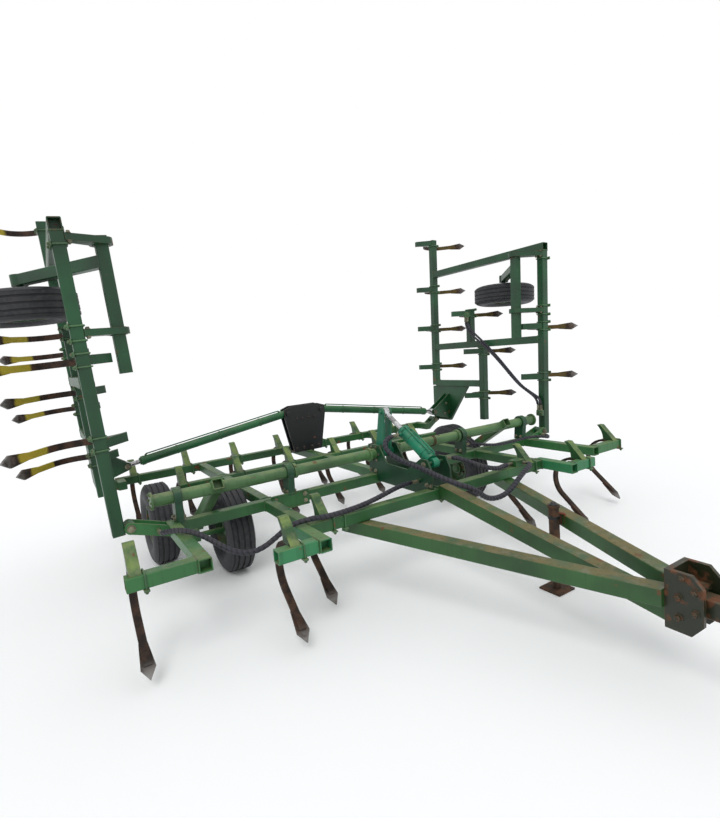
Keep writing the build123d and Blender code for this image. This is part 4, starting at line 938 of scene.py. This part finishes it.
# Jack: cap and band on its tube, and the crank with its grip
leg_low, leg_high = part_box("jack_leg")
jack = Vector(((leg_low.x + leg_high.x) / 2, (leg_low.y + leg_high.y) / 2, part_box("jack_tube")[1].z))
cap = Piece()
cap.turned(jack, Vector((0, 0, 1)), [(0.034, 0), (0.034, 0.006), (0.020, 0.016), (0.016, 0.024)], 24)
cap.turned(jack + Vector((0, 0, -0.105)), Vector((0, 0, 1)), band(0.0385, 0.044, 0.028, 0.002), 28, True)
cap.finish("jack_cap", dark_paint, "frame", "rusty_steel")
crank_way = Vector((0.5, -0.866, 0.0))
crank_path = [jack + crank_way * out + Vector((0, 0, rise))
              for out, rise in ((0.036, -0.060), (0.078, -0.060), (0.078, -0.150), (0.110, -0.152))]
handle = Piece()
handle.sweep(rounded(crank_path, 0.016), 0.0085, 12)
grip = jack + crank_way * 0.106 + Vector((0, 0, -0.152))
handle.turned(grip, crank_way, [(0.010, 0), (0.016, 0.004), (0.016, 0.070), (0.010, 0.075)], 18)
handle.finish("jack_handle", red_paint, "frame", "rusty_steel")


def plain_rays(tree):
    """1 for rays that are seen, from the camera or in or through a surface, and 0 for those that light it."""
    path = tree.nodes.new("ShaderNodeLightPath")
    seen = path.outputs["Is Camera Ray"]
    for kind in ("Is Glossy Ray", "Is Transmission Ray"):
        either = tree.nodes.new("ShaderNodeMath")
        either.operation = "MAXIMUM"
        tree.links.new(seen, either.inputs[0])
        tree.links.new(path.outputs[kind], either.inputs[1])
        seen = either.outputs[0]
    return seen


# Floor just under the tyres, near white where it is seen and a little darker where it lights the part
FLOOR_RADIUS, FLOOR_SIDES, FLOOR_Z = 60.0, 64, -0.001
floor_turns = [math.tau * i / FLOOR_SIDES for i in range(FLOOR_SIDES)]
floor_points = [(FLOOR_RADIUS * math.cos(turn), FLOOR_RADIUS * math.sin(turn), FLOOR_Z)
                for turn in floor_turns]
floor_mesh = bpy.data.meshes.new("floor")
floor_mesh.from_pydata(floor_points, [], [tuple(range(FLOOR_SIDES))])
floor = bpy.data.objects.new("floor", floor_mesh)
bpy.context.scene.collection.objects.link(floor)
floor_graph = Graph("floor_white")
floor_colour = floor_graph.mix(plain_rays(floor_graph.tree), rgb(232, 232, 230), rgb(254, 254, 254))
floor_graph.set("Base Color", floor_colour)
floor_graph.set("Roughness", 0.9)
floor.data.materials.append(floor_graph.material)

# World: a soft sky that lights the part, and plain white where it is seen
SKY_COLOUR, SKY_STRENGTH = (0.97, 0.985, 1.0, 1.0), 0.84
world = bpy.data.worlds.new("world")
bpy.context.scene.world = world
world.use_nodes = True
tree = world.node_tree
sky = tree.nodes["Background"]
sky.inputs["Color"].default_value = SKY_COLOUR
sky.inputs["Strength"].default_value = SKY_STRENGTH
white = tree.nodes.new("ShaderNodeBackground")
white.inputs["Color"].default_value = (1, 1, 1, 1)
choice = tree.nodes.new("ShaderNodeMixShader")
tree.links.new(plain_rays(tree), choice.inputs[0])
tree.links.new(sky.outputs[0], choice.inputs[1])
tree.links.new(white.outputs[0], choice.inputs[2])
tree.links.new(choice.outputs[0], tree.nodes["World Output"].inputs["Surface"])

# A wide, weak sun from above for soft shadows
lamp = bpy.data.lights.new("soft_sun", "SUN")
lamp.energy = 0.9
lamp.angle = math.radians(28)
sun = bpy.data.objects.new("soft_sun", lamp)
sun.rotation_euler = [math.radians(turn) for turn in (38, -14, -20)]
bpy.context.scene.collection.objects.link(sun)
